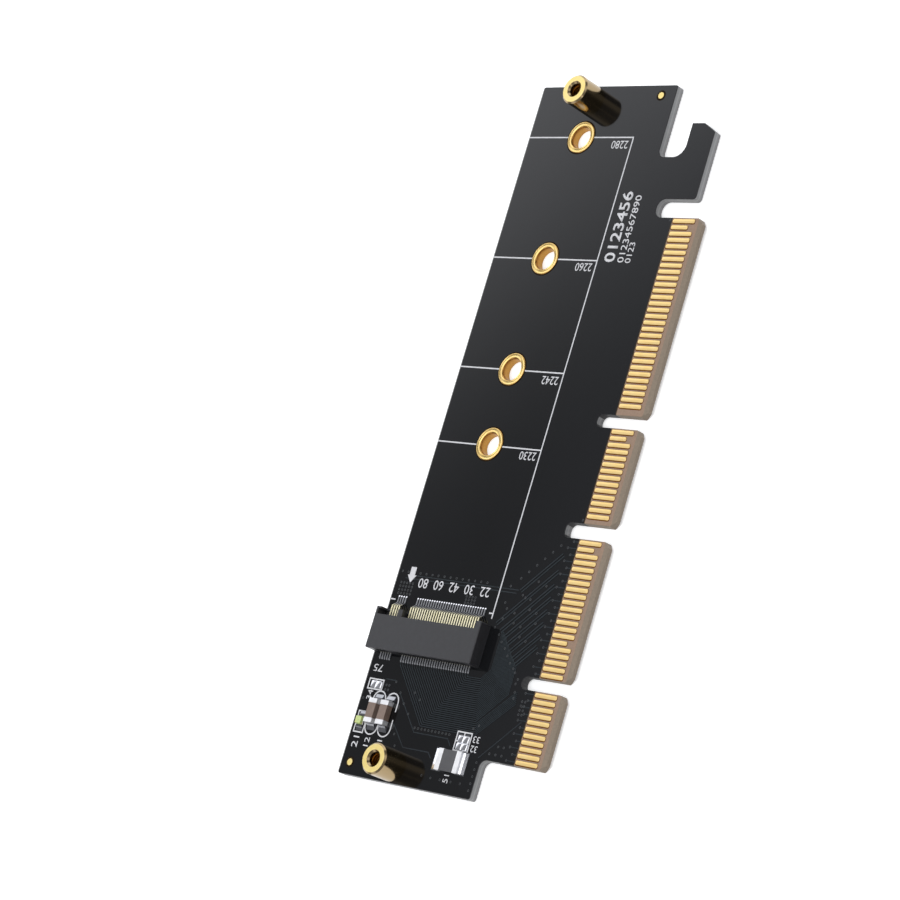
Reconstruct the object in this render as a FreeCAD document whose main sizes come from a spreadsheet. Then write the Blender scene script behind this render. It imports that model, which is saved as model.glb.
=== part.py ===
"""Adapter card that carries one module in a computer's long expansion slot.

Frame: +X runs along the card from the bracket end to the far end, +Y towards the
plain long edge, so the edge contacts are on -Y, and +Z out of the component side.
The card lies on its back contacts at z = 0, centred on the origin. Millimetres.
"""
import FreeCAD, Part
import os

import Sketcher

doc = FreeCAD.newDocument("AdapterCard")

# ---------------------------------------------------------------- driving sizes
SIZES = [
    # circuit board outline; "out" is the distance from the plain long edge
    ("card_length", 111.5, "bracket end to far end"),
    ("card_width", 39.75, "plain edge to the tip of the contact tabs"),
    ("tab_tall", 12.25, "tip of the contact tabs beyond the open long edge"),
    ("card_thick", 1.57, "over the contacts of both faces, as the slot gauges it"),
    ("foil_thick", 0.05, "plated copper on each face"),
    ("module_datum", 22.95, "bracket end to the module's connector edge"),
    ("bevel_run", 0.65, "depth of the lead-in bevel along the tab"),
    ("bevel_rise", 0.4, "height of the lead-in bevel on each face"),
    ("tip_chamfer", 0.85, "corner chamfer of each contact tab"),
    ("key_notch_deep", 8.75, "tip to the closed end of the key notch"),
    ("tab_notch_deep", 9.0, "tip to the closed end of the two later notches"),
    ("hook_notch_deep", 9.55, "tip to the closed end of the notch beside the hook"),
    ("key_notch_radius", 0.9, "inside corners of the key notch"),
    ("tab_notch_radius", 0.95, "inside corners of the two later notches"),
    ("hook_notch_radius", 1.4, "inside corners of the notch beside the hook"),
    ("step_radius", 1.2, "inside corner beside the first tab"),
    ("corner_radius", 0.4, "outside corners of the board"),
    # contacts of the card edge
    ("pin_pitch", 1.0, "contact pitch"),
    ("pin_width", 0.7, "contact width"),
    ("first_pin", 6.57, "bracket end to the first contact's centre"),
    ("key_gap", 3.0, "contact 11 to contact 12, across the key notch"),
    ("key_notch", 1.9, "width of the key notch"),
    ("edge_margin", 0.53, "end contact's centre to the tab's side"),
    ("gap_notch_two", 2.3, "width of the notch after contact 32"),
    ("gap_notch_three", 2.0, "width of the notch after contact 49"),
    ("blank_pins", 3.0, "contact positions left out at each later notch"),
    ("pin_tip_gap", 1.35, "tip to the outer end of the long contacts"),
    ("pin_long", 4.2, "length of the long contacts"),
    ("short_pin_cut", 1.05, "how much shorter the short contacts are"),
    ("short_cut_wide", 0.9, "width of the cut that shortens a contact"),
    # latch hook at the far end of the contact tabs
    ("hook_notch", 2.97, "width of the notch between last tab and hook"),
    ("hook_short", 2.5, "outer edge of the hook behind the tips"),
    ("latch_slot", 4.95, "width of the latch slot"),
    ("hook_neck", 6.73, "hook's notch side to the closed end of the latch slot"),
    ("hook_long", 12.21, "hook's notch side to its end"),
    ("hook_chamfer_out", 2.45, "hook corner chamfer across the card"),
    ("hook_chamfer_along", 1.4, "hook corner chamfer along the card"),
    ("latch_small_radius", 1.2, "slot corner on the board side"),
    ("latch_large_radius", 2.1, "slot corner on the hook side"),
    ("hook_radius", 0.6, "hook corner at the notch"),
    # module holes, on the socket's centre line
    ("module_out", 11.0, "plain edge to the module's centre line"),
    ("hole_first", 30.0, "module datum to the first hole"),
    ("hole_second", 42.0, "module datum to the second hole"),
    ("hole_third", 60.0, "module datum to the third hole"),
    ("hole_last", 80.0, "module datum to the last hole"),
    ("ring_bore", 3.5, "open diameter through the ring"),
    ("ring_flange", 0.85, "width of the ring on the board's faces"),
    ("ring_wall", 0.3, "sleeve in the hole"),
    ("ring_proud", 0.12, "height of the rolled ring above the laminate"),
    # standoffs
    ("standoff_outer", 4.8, "diameter"),
    ("standoff_tall", 4.5, "height above the component side"),
    ("standoff_thread", 2.05, "core diameter of the M2.5 thread"),
    ("standoff_mouth", 2.65, "diameter of the countersunk mouth"),
    ("standoff_shank", 3.8, "diameter of the shank in the board"),
    ("standoff_edge", 0.25, "outside edge chamfer"),
    ("standoff_front", -20.4, "module datum to the front standoff"),
    ("standoff_rear", 86.1, "module datum to the rear standoff"),
    # module socket
    ("socket_front", 2.6, "module datum to the mouth face"),
    ("socket_cover", 1.4, "module datum to the cover's edge"),
    ("socket_back", -3.9, "module datum to the back face"),
    ("slot_side", 0.7, "outermost upper contact's centre to the side of the card slot"),
    ("socket_wall", 1.0, "housing beside the card slot"),
    ("cover_thick", 0.4, "housing over the card slot"),
    ("slot_floor", 0.9, "slot floor above the laminate"),
    ("slot_tall", 0.9, "slot height, for a 0.8 mm module"),
    ("slot_end", -0.3, "module datum to the closed end of the slot"),
    ("key_wide", 1.0, "key rib"),
    ("key_drop", 0.35, "key rib's top below the cover"),
    ("end_wall", 0.5, "wall beside the corner pocket"),
    ("pocket_wide", 1.1, "corner pocket across the card"),
    ("pocket_lip", 0.3, "lip in front of the corner pocket"),
    ("pocket_floor", 0.3, "corner pocket's floor above the laminate"),
    ("socket_edge", 0.12, "chamfer of the housing's top edges"),
    ("peg_wide", 1.1, "locating peg"),
    ("peg_long", 1.2, "locating peg's length below the housing"),
    ("peg_inset", 1.95, "housing's end to the peg's centre"),
    ("peg_along", -0.8, "module datum to the pegs"),
    ("peg_clearance", 0.05, "radial clearance of a peg in its hole"),
    ("key_hole", 0.4, "opening beside the key rib"),
    # socket contacts
    ("tail_pitch", 0.5, "pitch of each row"),
    ("strip_thick", 0.12, "contact strip"),
    ("strip_wide", 0.22, "contact strip's width"),
    ("channel_wide", 0.3, "channel for a contact"),
    ("bar_proud", 0.07, "lower contacts' bars above the slot floor"),
    ("bar_end", -1.2, "module datum to the inner end of the lower bars"),
    ("hump", 0.13, "height of the touching bend"),
    ("hump_along", 0.5, "module datum to the touching bend"),
    ("hump_half", 0.45, "half the length of the touching bend"),
    ("channel_floor", 0.6, "floor of the lower channels"),
    ("knee_along", 3.3, "module datum to the knee of the lower tails"),
    ("tail_root", 3.95, "module datum to the start of the flat tail"),
    ("tail_reach", 4.85, "module datum to the end of the lower tails"),
    ("roof_gap", 0.06, "air above the upper contacts"),
    ("run_end", 1.05, "module datum to the front of the upper contacts"),
    ("riser_along", -3.38, "module datum to the front of the risers"),
    ("rear_reach", -4.75, "module datum to the end of the upper tails"),
    ("pad_wide", 0.3, "solder pad under a tail"),
    ("pad_beyond", 0.25, "solder pad beyond the end of a tail"),
    # capacitors
    ("cap_long", 3.7, "capacitor along the card"),
    ("cap_wide", 1.65, "capacitor across the card"),
    ("cap_tall", 1.25, "capacitor height above its pads"),
    ("cap_band", 0.72, "length of an end terminal"),
    ("cap_along", -13.0, "module datum to both capacitors"),
    ("cap_one_out", 6.6, "plain edge to the first capacitor"),
    ("cap_two_out", 4.15, "plain edge to the second capacitor"),
    ("cap_pad_long", 1.5, "capacitor pad along the card"),
    ("cap_pad_wide", 1.8, "capacitor pad across the card"),
    ("cap_pad_span", 5.6, "over both capacitor pads"),
    # fuse
    ("fuse_long", 4.6, "fuse across the card"),
    ("fuse_wide", 3.3, "fuse along the card"),
    ("fuse_tall", 0.65, "fuse height above its pads"),
    ("fuse_band", 0.95, "length of an end terminal"),
    ("fuse_along", -18.1, "module datum to the fuse"),
    ("fuse_out", 21.85, "plain edge to the fuse"),
    ("fuse_pad_long", 1.8, "fuse pad across the card"),
    ("fuse_pad_wide", 3.5, "fuse pad along the card"),
    ("fuse_pad_span", 6.7, "over both fuse pads"),
    # indicator light
    ("led_long", 2.0, "light along the card"),
    ("led_wide", 1.25, "light across the card"),
    ("led_base_tall", 0.3, "light's base"),
    ("led_lens_tall", 0.45, "light's lens"),
    ("led_lens_long", 1.3, "light's lens along the card"),
    ("led_lens_draft", 0.12, "lens narrows by this on each end"),
    ("led_band", 0.35, "length of an end terminal"),
    ("led_along", -14.65, "module datum to the light"),
    ("led_out", 1.8, "plain edge to the light"),
    ("led_pad_long", 0.8, "light's pad along the card"),
    ("led_pad_wide", 1.3, "light's pad across the card"),
    ("led_pad_span", 3.0, "over both of the light's pads"),
    # all chips
    ("band_thick", 0.06, "metal of an end terminal"),
    ("chip_edge", 0.06, "chamfer of a terminal's edges"),
    ("solder_rise", 0.6, "solder height as a share of the chip's height"),
    ("solder_reach", 0.9, "solder's run as a share of the pad beyond the chip"),
    ("solder_toe_run", 0.35, "run at the low bend, as a share of the same"),
    ("solder_toe_rise", 0.25, "height at the low bend, as a share of the solder's"),
    ("solder_neck_run", 0.12, "run at the high bend, as a share of the pad beyond"),
    ("solder_neck_rise", 0.6, "height at the high bend, as a share of the solder's"),
    ("solder_wide", 0.94, "solder's width as a share of the chip's"),
    # unused resistor places
    ("spare_pad_long", 0.85, "spare pad along the card"),
    ("spare_pad_wide", 0.85, "spare pad across the card"),
    ("spare_pitch", 1.4, "spare pad to spare pad"),
    ("spare_dome", 0.22, "height of the solder dome"),
    ("spare_dome_ease", 0.14, "chamfer round a solder dome"),
    ("spare_dome_margin", 0.06, "pad left bare round a dome"),
    ("spare_out", 23.05, "plain edge to the pair of spare places"),
    ("spare_along", -14.25, "module datum to the first of the pair"),
    ("spare_next", -1.45, "first of the pair to the second"),
    ("single_out", 2.55, "plain edge to the single spare place"),
    ("single_along", -8.9, "module datum to the single spare place"),
    # round marks for the placing machine
    ("dot_wide", 1.05, "diameter"),
    ("dot_near_along", -21.05, "module datum to the near mark"),
    ("dot_near_out", 1.95, "plain edge to the near mark"),
    ("dot_far_along", 86.85, "module datum to the far mark"),
    ("dot_far_out", 24.7, "plain edge to the far mark"),
]

dims = doc.addObject("Spreadsheet::Sheet", "Dims")
for line, (alias, value, meaning) in enumerate(SIZES, start=1):
    dims.set(f"A{line}", meaning)
    dims.set(f"B{line}", str(value))
    dims.setAlias(f"B{line}", alias)
doc.recompute()

SHORT_PINS_FRONT = (17, 31, 48, 81)
SHORT_PINS_BACK = (1,)
FIRST_KEYED_PIN = 12      # the key notch is just before this contact
PIN_GROUPS = ((1, 11), (12, 32), (36, 49), (53, 82))
# places in the module socket, counted in pitches from the module's centre line
KEY_PLACE = 12.25
# each row of contacts: side of the key, outermost place, number of contacts
LOWER_ROWS = [("short", 18, 4), ("long", 10, 29)]
UPPER_ROWS = [("short", 18.5, 5), ("long", 9.5, 29)]
UPPER_EDGE_PLACE = UPPER_ROWS[0][1]


def size(words):
    """Turn size names in an expression into references to the sheet."""
    names = {alias for alias, value, meaning in SIZES}
    out = []
    for token in words.replace("(", " ( ").replace(")", " ) ").split():
        out.append(f"Dims.{token}" if token in names else token)
    return " ".join(out)


def number(words):
    """The present value of an expression in size names."""
    value = dims.evalExpression(size(words))
    return float(getattr(value, "Value", value))


def along(words):
    """X of a place given by its distance from the module datum."""
    return f"module_datum - card_length / 2 + ( {words} )"


def across(words):
    """Y of a place given by its distance from the plain long edge."""
    return f"card_width / 2 - ( {words} )"


BOARD_BACK = "foil_thick"
BOARD_FACE = "card_thick - foil_thick"
PAD_FACE = "card_thick"
LINE_Y = across("module_out")


# ---------------------------------------------------------------- sketch helpers
def new_body(label, x="0", y="0", z="0"):
    """An empty body whose place is bound to the sheet."""
    body = doc.addObject("PartDesign::Body", label)
    body.Label = label
    body.AllowCompound = True
    body.setExpression("Placement.Base.x", size(x))
    body.setExpression("Placement.Base.y", size(y))
    body.setExpression("Placement.Base.z", size(z))
    return body


def sketch_on(body, name, role, height="0"):
    """A sketch on one of the body's origin planes, raised along its normal."""
    sketch = body.newObject("Sketcher::SketchObject", name)
    plane = [f for f in body.Origin.OriginFeatures if f.Role == role][0]
    sketch.AttachmentSupport = [(plane, "")]
    sketch.MapMode = "FlatFace"
    sketch.setExpression("AttachmentOffset.Base.z", size(height))
    return sketch


def pin_point(sketch, geometry, vertex, x, y):
    """Hold one point of a sketch at a place bound to the sheet."""
    across_rule = sketch.addConstraint(
        Sketcher.Constraint("DistanceX", -1, 1, geometry, vertex, number(x)))
    sketch.setExpression(f"Constraints[{across_rule}]", size(x))
    up_rule = sketch.addConstraint(
        Sketcher.Constraint("DistanceY", -1, 1, geometry, vertex, number(y)))
    sketch.setExpression(f"Constraints[{up_rule}]", size(y))


def polygon(sketch, points):
    """A closed outline whose corners are all held by the sheet."""
    places = [FreeCAD.Vector(number(x), number(y), 0) for x, y in points]
    lines = []
    for start, end in zip(places, places[1:] + places[:1]):
        lines.append(sketch.addGeometry(Part.LineSegment(start, end), False))
    for line, following in zip(lines, lines[1:] + lines[:1]):
        sketch.addConstraint(Sketcher.Constraint("Coincident", line, 2, following, 1))
    for line, (x, y) in zip(lines, points):
        pin_point(sketch, line, 1, x, y)


def rectangle(sketch, x_middle, y_middle, x_size, y_size):
    """A closed rectangle about a middle point."""
    left, right = f"{x_middle} - ( {x_size} ) / 2", f"{x_middle} + ( {x_size} ) / 2"
    low, high = f"{y_middle} - ( {y_size} ) / 2", f"{y_middle} + ( {y_size} ) / 2"
    polygon(sketch, [(left, low), (right, low), (right, high), (left, high)])


def circle(sketch, x, y, diameter):
    """A circle held by its centre and diameter."""
    middle = FreeCAD.Vector(number(x), number(y), 0)
    upward = FreeCAD.Vector(0, 0, 1)
    ring = sketch.addGeometry(Part.Circle(middle, upward, number(diameter) / 2), False)
    pin_point(sketch, ring, 3, x, y)
    rule = sketch.addConstraint(Sketcher.Constraint("Diameter", ring, number(diameter)))
    sketch.setExpression(f"Constraints[{rule}]", size(diameter))


def pad(body, name, sketch, length, midplane=False):
    """Add material along the sketch's normal."""
    feature = body.newObject("PartDesign::Pad", name)
    feature.Profile = sketch
    feature.Midplane = midplane
    feature.setExpression("Length", size(length))
    sketch.Visibility = False
    return feature


def pocket(body, name, sketch, length, midplane=False, upward=False):
    """Cut material and make sure that something was cut."""
    doc.recompute()
    before = body.Shape.Volume
    feature = body.newObject("PartDesign::Pocket", name)
    feature.Profile = sketch
    feature.Midplane = midplane
    feature.Reversed = upward
    feature.setExpression("Length", size(length))
    doc.recompute()
    if not body.Shape.Volume < before - 1e-6:
        raise RuntimeError(f"{name} cut nothing")
    return feature


def row(body, name, feature, sketch, axis, step, count, reverse=False):
    """Repeat a feature along one of its sketch's axes."""
    pattern = body.newObject("PartDesign::LinearPattern", name)
    pattern.Originals = [feature]
    pattern.Direction = (sketch, [axis])
    pattern.Reversed = reverse
    pattern.setExpression("Length", size(f"{step} * {count - 1}"))
    pattern.Occurrences = count
    body.Tip = pattern
    return pattern


def spin(body, name, sketch):
    """Revolve a half profile about the sketch's vertical axis."""
    feature = body.newObject("PartDesign::Revolution", name)
    feature.Profile = sketch
    feature.ReferenceAxis = (sketch, ["V_Axis"])
    feature.Angle = 360
    return feature


def upright_edges(body, places):
    """Names of the upright edges that stand at the given places."""
    doc.recompute()
    found = []
    for x, y in places:
        spot = FreeCAD.Vector(number(x), number(y), 0)
        for index, edge in enumerate(body.Shape.Edges, start=1):
            ends = [vertex.Point for vertex in edge.Vertexes]
            flat = [FreeCAD.Vector(p.x, p.y, 0) for p in ends]
            if len(ends) == 2 and all((p - spot).Length < 1e-4 for p in flat):
                found.append(f"Edge{index}")
    if len(found) != len(places):
        raise RuntimeError(f"found {len(found)} of {len(places)} corners")
    return found


def round_corners(body, name, places, radius):
    """Fillet upright corners."""
    names = upright_edges(body, places)
    base = body.Tip
    feature = body.newObject("PartDesign::Fillet", name)
    feature.Base = (base, names)
    feature.setExpression("Radius", size(radius))
    return feature


def bevel_corners(body, name, places, reach):
    """Chamfer upright corners."""
    names = upright_edges(body, places)
    base = body.Tip
    feature = body.newObject("PartDesign::Chamfer", name)
    feature.Base = (base, names)
    feature.setExpression("Size", size(reach))
    return feature


# ---------------------------------------------------------------- places along the tabs
def pin_along(pin):
    """Distance from the module datum to a contact's centre."""
    place = f"first_pin - module_datum + {pin - 1} * pin_pitch"
    if pin >= FIRST_KEYED_PIN:
        place = f"first_pin - module_datum + {pin - 2} * pin_pitch + key_gap"
    return place


FRONT_X = "0 - card_length / 2"
REAR_X = "card_length / 2"
PLAIN_Y = "card_width / 2"
TIP_Y = "0 - card_width / 2"
BODY_Y = f"{TIP_Y} + tab_tall"
KEY_MIDDLE = f"{pin_along(11)} + key_gap / 2"

TAB_SIDES = [
    (f"{pin_along(1)} - edge_margin", f"{KEY_MIDDLE} - key_notch / 2"),
    (f"{KEY_MIDDLE} + key_notch / 2", f"{pin_along(32)} + edge_margin"),
    (f"{pin_along(32)} + edge_margin + gap_notch_two", f"{pin_along(49)} + edge_margin"),
    (f"{pin_along(49)} + edge_margin + gap_notch_three", f"{pin_along(82)} + edge_margin"),
]
HOOK_SIDE = f"{pin_along(82)} + edge_margin + hook_notch"
LATCH_FLOOR = f"{HOOK_SIDE} + hook_neck"
HOOK_END = f"{HOOK_SIDE} + hook_long"
NOTCHES = ["key_notch", "tab_notch", "tab_notch", "hook_notch"]


# ---------------------------------------------------------------- board
def circuit_board():
    """Laminate with stepped outline, latch hook, contact tabs, bevel and holes."""
    body = new_body("circuit_board", z=BOARD_BACK)
    thick = "card_thick - 2 * foil_thick"
    hook_inner = f"{BODY_Y} - latch_slot"
    hook_outer = f"{TIP_Y} + hook_short"
    points = [
        (FRONT_X, PLAIN_Y),
        (REAR_X, PLAIN_Y),
        (REAR_X, BODY_Y),
        (along(LATCH_FLOOR), BODY_Y),
        (along(LATCH_FLOOR), hook_inner),
        (along(HOOK_END), hook_inner),
        (along(HOOK_END), f"{hook_outer} + hook_chamfer_out"),
        (along(f"{HOOK_END} - hook_chamfer_along"), hook_outer),
        (along(HOOK_SIDE), hook_outer),
    ]
    corners = {name: [] for name in NOTCHES}
    high_side = along(HOOK_SIDE)
    for (low, high), notch in reversed(list(zip(TAB_SIDES, NOTCHES))):
        closed = f"{TIP_Y} + {notch}_deep"
        corners[notch] += [(high_side, closed), (along(high), closed)]
        points += [(high_side, closed), (along(high), closed)]
        points += [(along(high), TIP_Y), (along(low), TIP_Y)]
        high_side = along(low)
    first_side = high_side
    points += [(first_side, BODY_Y), (FRONT_X, BODY_Y)]
    outline = sketch_on(body, "outline", "XY_Plane")
    polygon(outline, points)
    pad(body, "laminate", outline, thick)

    tips = [(along(side), TIP_Y) for sides in TAB_SIDES for side in sides]
    bevel_corners(body, "tab_corners", tips, "tip_chamfer")
    for notch, places in corners.items():
        round_corners(body, f"{notch}_corners", places, f"{notch}_radius")
    round_corners(body, "step_corner", [(first_side, BODY_Y)], "step_radius")
    slot_small = [(along(LATCH_FLOOR), BODY_Y)]
    round_corners(body, "latch_board_corner", slot_small, "latch_small_radius")
    slot_large = [(along(LATCH_FLOOR), hook_inner)]
    round_corners(body, "latch_hook_corner", slot_large, "latch_large_radius")
    round_corners(body, "hook_corner", [(along(HOOK_SIDE), hook_outer)], "hook_radius")
    ends = [(FRONT_X, PLAIN_Y), (REAR_X, PLAIN_Y), (REAR_X, BODY_Y), (FRONT_X, BODY_Y)]
    round_corners(body, "end_corners", ends, "corner_radius")

    bevel = sketch_on(body, "bevel_profile", "YZ_Plane")
    inner = f"{TIP_Y} + bevel_run"
    polygon(bevel, [(TIP_Y, thick), (inner, thick), (TIP_Y, f"{thick} - bevel_rise")])
    polygon(bevel, [(TIP_Y, "0"), (inner, "0"), (TIP_Y, "bevel_rise")])
    pocket(body, "edge_bevel", bevel, "2 * card_length", midplane=True)

    holes = sketch_on(body, "holes", "XY_Plane")
    for place in ("hole_first", "hole_second", "hole_third", "hole_last"):
        circle(holes, along(place), LINE_Y, "ring_bore + 2 * ring_wall")
    for place in ("standoff_front", "standoff_rear"):
        circle(holes, along(place), LINE_Y, "standoff_shank")
    for side in ("+", "-"):
        place = f"{LINE_Y} {side} {PEG_Y}"
        circle(holes, along("peg_along"), place, "peg_wide + 2 * peg_clearance")
    pocket(body, "drill_holes", holes, thick, upward=True)
    return body


def edge_contacts(label, height, short_pins):
    """One face's contacts: a row on each tab, some of them cut short."""
    body = new_body(label, z=height)
    middle = f"{TIP_Y} + pin_tip_gap + pin_long / 2"
    for first, last in PIN_GROUPS:
        name = f"{label}_{first}"
        sketch = sketch_on(body, f"{name}_outline", "XY_Plane")
        rectangle(sketch, along(pin_along(first)), middle, "pin_width", "pin_long")
        contact = pad(body, name, sketch, "foil_thick")
        doc.recompute()
        row(body, f"{name}_row", contact, sketch, "H_Axis", "pin_pitch", last - first + 1)
        doc.recompute()
    cut = sketch_on(body, f"{label}_short_ends", "XY_Plane")
    cut_middle = f"{TIP_Y} + pin_tip_gap + short_pin_cut / 2"
    for pin in short_pins:
        rectangle(cut, along(pin_along(pin)), cut_middle, "short_cut_wide", "short_pin_cut")
    pocket(body, f"{label}_shorten", cut, "foil_thick", upward=True)
    return body


def hole_ring(label, place):
    """Plated sleeve that lines a module hole, with a flange on each face."""
    body = new_body(label, along(place), LINE_Y)
    half = sketch_on(body, f"{label}_profile", "XZ_Plane")
    face = BOARD_FACE
    outer = "ring_bore / 2 + ring_flange"
    polygon(half, [
        ("ring_bore / 2", "0"),
        (outer, "0"),
        (outer, BOARD_BACK),
        ("ring_bore / 2 + ring_wall", BOARD_BACK),
        ("ring_bore / 2 + ring_wall", face),
        (outer, face),
        (f"{outer} - ring_proud", f"{face} + ring_proud"),
        ("ring_bore / 2", f"{face} + ring_proud"),
    ])
    spin(body, f"{label}_turned", half)
    return body


def standoff(label, place):
    """Turned standoff pressed into the board, with a tapped hole and countersunk mouth."""
    body = new_body(label, along(place), LINE_Y)
    half = sketch_on(body, f"{label}_profile", "XZ_Plane")
    top = f"{BOARD_FACE} + standoff_tall"
    polygon(half, [
        ("standoff_thread / 2", BOARD_BACK),
        ("standoff_shank / 2", BOARD_BACK),
        ("standoff_shank / 2", BOARD_FACE),
        ("standoff_outer / 2", BOARD_FACE),
        ("standoff_outer / 2", f"{top} - standoff_edge"),
        ("standoff_outer / 2 - standoff_edge", top),
        ("standoff_mouth / 2", top),
        ("standoff_thread / 2", f"{top} - ( standoff_mouth - standoff_thread ) / 2"),
    ])
    spin(body, f"{label}_turned", half)
    return body


# ---------------------------------------------------------------- module socket
SLOT_HALF = f"( {UPPER_EDGE_PLACE} * tail_pitch + slot_side )"
SOCKET_HALF = f"( {SLOT_HALF} + socket_wall )"
SOCKET_TALL = "( slot_floor + slot_tall + cover_thick )"
KEY_Y = f"{KEY_PLACE} * tail_pitch"
BAR_TOP = "slot_floor + bar_proud"
RUN_LOW = "slot_floor + slot_tall"
RUN_TOP = f"{RUN_LOW} + strip_thick"
PEG_Y = f"( {SOCKET_HALF} - peg_inset )"


def comb(body, name, rows, points, width, cut):
    """A profile repeated at the contact pitch, as channels or as contacts."""
    for side, place, count in rows:
        sketch = sketch_on(body, f"{name}_{side}_profile", "XZ_Plane",
                           f"0 - {place} * tail_pitch")
        polygon(sketch, points)
        make = pocket if cut else pad
        feature = make(body, f"{name}_{side}", sketch, width, midplane=True)
        doc.recompute()
        row(body, f"{name}_{side}_row", feature, sketch, "N_Axis", "tail_pitch", count)
        doc.recompute()


def socket_housing():
    """Moulded housing: card slot, cut-back cover, key rib, pockets, channels and pegs."""
    body = new_body("socket_housing", y=LINE_Y, z=BOARD_FACE)
    base = sketch_on(body, "housing_outline", "XY_Plane")
    middle = along("( socket_front + socket_back ) / 2")
    rectangle(base, middle, "0", "socket_front - socket_back", f"2 * {SOCKET_HALF}")
    pad(body, "housing_block", base, SOCKET_TALL)
    doc.recompute()
    eased = body.newObject("PartDesign::Chamfer", "housing_edges")
    top = number(SOCKET_TALL)
    names = []
    for index, edge in enumerate(body.Shape.Edges, start=1):
        heights = [vertex.Point.z - number(BOARD_FACE) for vertex in edge.Vertexes]
        if max(heights) > top - 1e-4:
            names.append(f"Edge{index}")
    eased.Base = (doc.getObject("housing_block"), names)
    eased.setExpression("Size", size("socket_edge"))

    long_low, long_high = f"0 - {SLOT_HALF}", f"{KEY_Y} - key_wide / 2"
    short_low, short_high = f"{KEY_Y} + key_wide / 2", SLOT_HALF
    card = sketch_on(body, "card_slot_outline", "XY_Plane", "slot_floor")
    strip = sketch_on(body, "mouth_outline", "XY_Plane", "slot_floor")
    for low, high in ((long_low, long_high), (short_low, short_high)):
        across_middle, wide = f"( {low} + {high} ) / 2", f"{high} - ( {low} )"
        rectangle(card, along("( slot_end + socket_front ) / 2"), across_middle,
                  "socket_front - slot_end", wide)
        rectangle(strip, along("( socket_cover + socket_front ) / 2"), across_middle,
                  "socket_front - socket_cover", wide)
    pocket(body, "card_slot", card, "slot_tall", upward=True)
    pocket(body, "mouth", strip, f"{SOCKET_TALL} - slot_floor", upward=True)

    rib = sketch_on(body, "rib_top_outline", "XY_Plane", f"{SOCKET_TALL} - key_drop")
    rectangle(rib, along("( socket_cover + socket_front ) / 2"), KEY_Y,
              "socket_front - socket_cover", "key_wide")
    pocket(body, "rib_top", rib, "key_drop", upward=True)

    pits = sketch_on(body, "pits_outline", "XY_Plane", "pocket_floor")
    pit_middle = along("( socket_cover + socket_front - pocket_lip ) / 2")
    pit_long = "socket_front - pocket_lip - socket_cover"
    rectangle(pits, pit_middle, f"{SOCKET_HALF} - end_wall - pocket_wide / 2",
              pit_long, "pocket_wide")
    rectangle(pits, pit_middle, f"{KEY_Y} - key_wide / 2 - key_hole / 2",
              pit_long, "key_hole")
    pocket(body, "pits", pits, f"{SOCKET_TALL} - pocket_floor", upward=True)

    bar_low = f"{BAR_TOP} - strip_thick"
    comb(body, "lower_channel", LOWER_ROWS, [
        (along("bar_end"), bar_low),
        (along("slot_end"), bar_low),
        (along("slot_end"), "channel_floor"),
        (along("socket_front"), "channel_floor"),
        (along("socket_front"), BAR_TOP),
        (along("bar_end"), BAR_TOP),
    ], "channel_wide", cut=True)
    comb(body, "upper_channel", UPPER_ROWS, [
        (along("socket_back"), "0"),
        (along("riser_along"), "0"),
        (along("riser_along"), RUN_LOW),
        (along("run_end + roof_gap"), RUN_LOW),
        (along("run_end + roof_gap"), f"{RUN_TOP} + roof_gap"),
        (along("socket_back"), f"{RUN_TOP} + roof_gap"),
    ], "channel_wide", cut=True)

    pegs = sketch_on(body, "peg_outline", "XY_Plane")
    circle(pegs, along("peg_along"), PEG_Y, "peg_wide")
    circle(pegs, along("peg_along"), f"0 - {PEG_Y}", "peg_wide")
    made = pad(body, "pegs", pegs, "peg_long")
    made.Reversed = True
    return body


def lower_contacts():
    """Contacts under the module: bar, touching bend, knee and tail at the mouth side."""
    body = new_body("socket_lower_contacts", y=LINE_Y, z=BOARD_FACE)
    low = f"{BAR_TOP} - strip_thick"
    comb(body, "lower_contact", LOWER_ROWS, [
        (along("tail_reach"), "foil_thick"),
        (along("tail_reach"), "foil_thick + strip_thick"),
        (along("tail_root"), "foil_thick + strip_thick"),
        (along("knee_along"), BAR_TOP),
        (along("hump_along + hump_half"), BAR_TOP),
        (along("hump_along"), f"{BAR_TOP} + hump"),
        (along("hump_along - hump_half"), BAR_TOP),
        (along("bar_end"), BAR_TOP),
        (along("bar_end"), low),
        (along("hump_along - hump_half"), low),
        (along("hump_along"), f"{low} + hump"),
        (along("hump_along + hump_half"), low),
        (along("knee_along - strip_thick / 2"), low),
        (along("tail_root - strip_thick / 2"), "foil_thick"),
    ], "strip_wide", cut=False)
    return body


def upper_contacts():
    """Contacts above the module: tail, riser, run and touching bend."""
    body = new_body("socket_upper_contacts", y=LINE_Y, z=BOARD_FACE)
    comb(body, "upper_contact", UPPER_ROWS, [
        (along("rear_reach"), "foil_thick"),
        (along("riser_along"), "foil_thick"),
        (along("riser_along"), RUN_LOW),
        (along("hump_along - hump_half"), RUN_LOW),
        (along("hump_along"), f"{RUN_LOW} - hump"),
        (along("run_end"), RUN_LOW),
        (along("run_end"), RUN_TOP),
        (along("hump_along"), f"{RUN_TOP} - hump"),
        (along("hump_along - hump_half"), RUN_TOP),
        (along("riser_along - strip_thick"), RUN_TOP),
        (along("riser_along - strip_thick"), "foil_thick + strip_thick"),
        (along("rear_reach"), "foil_thick + strip_thick"),
    ], "strip_wide", cut=False)
    return body


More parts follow.
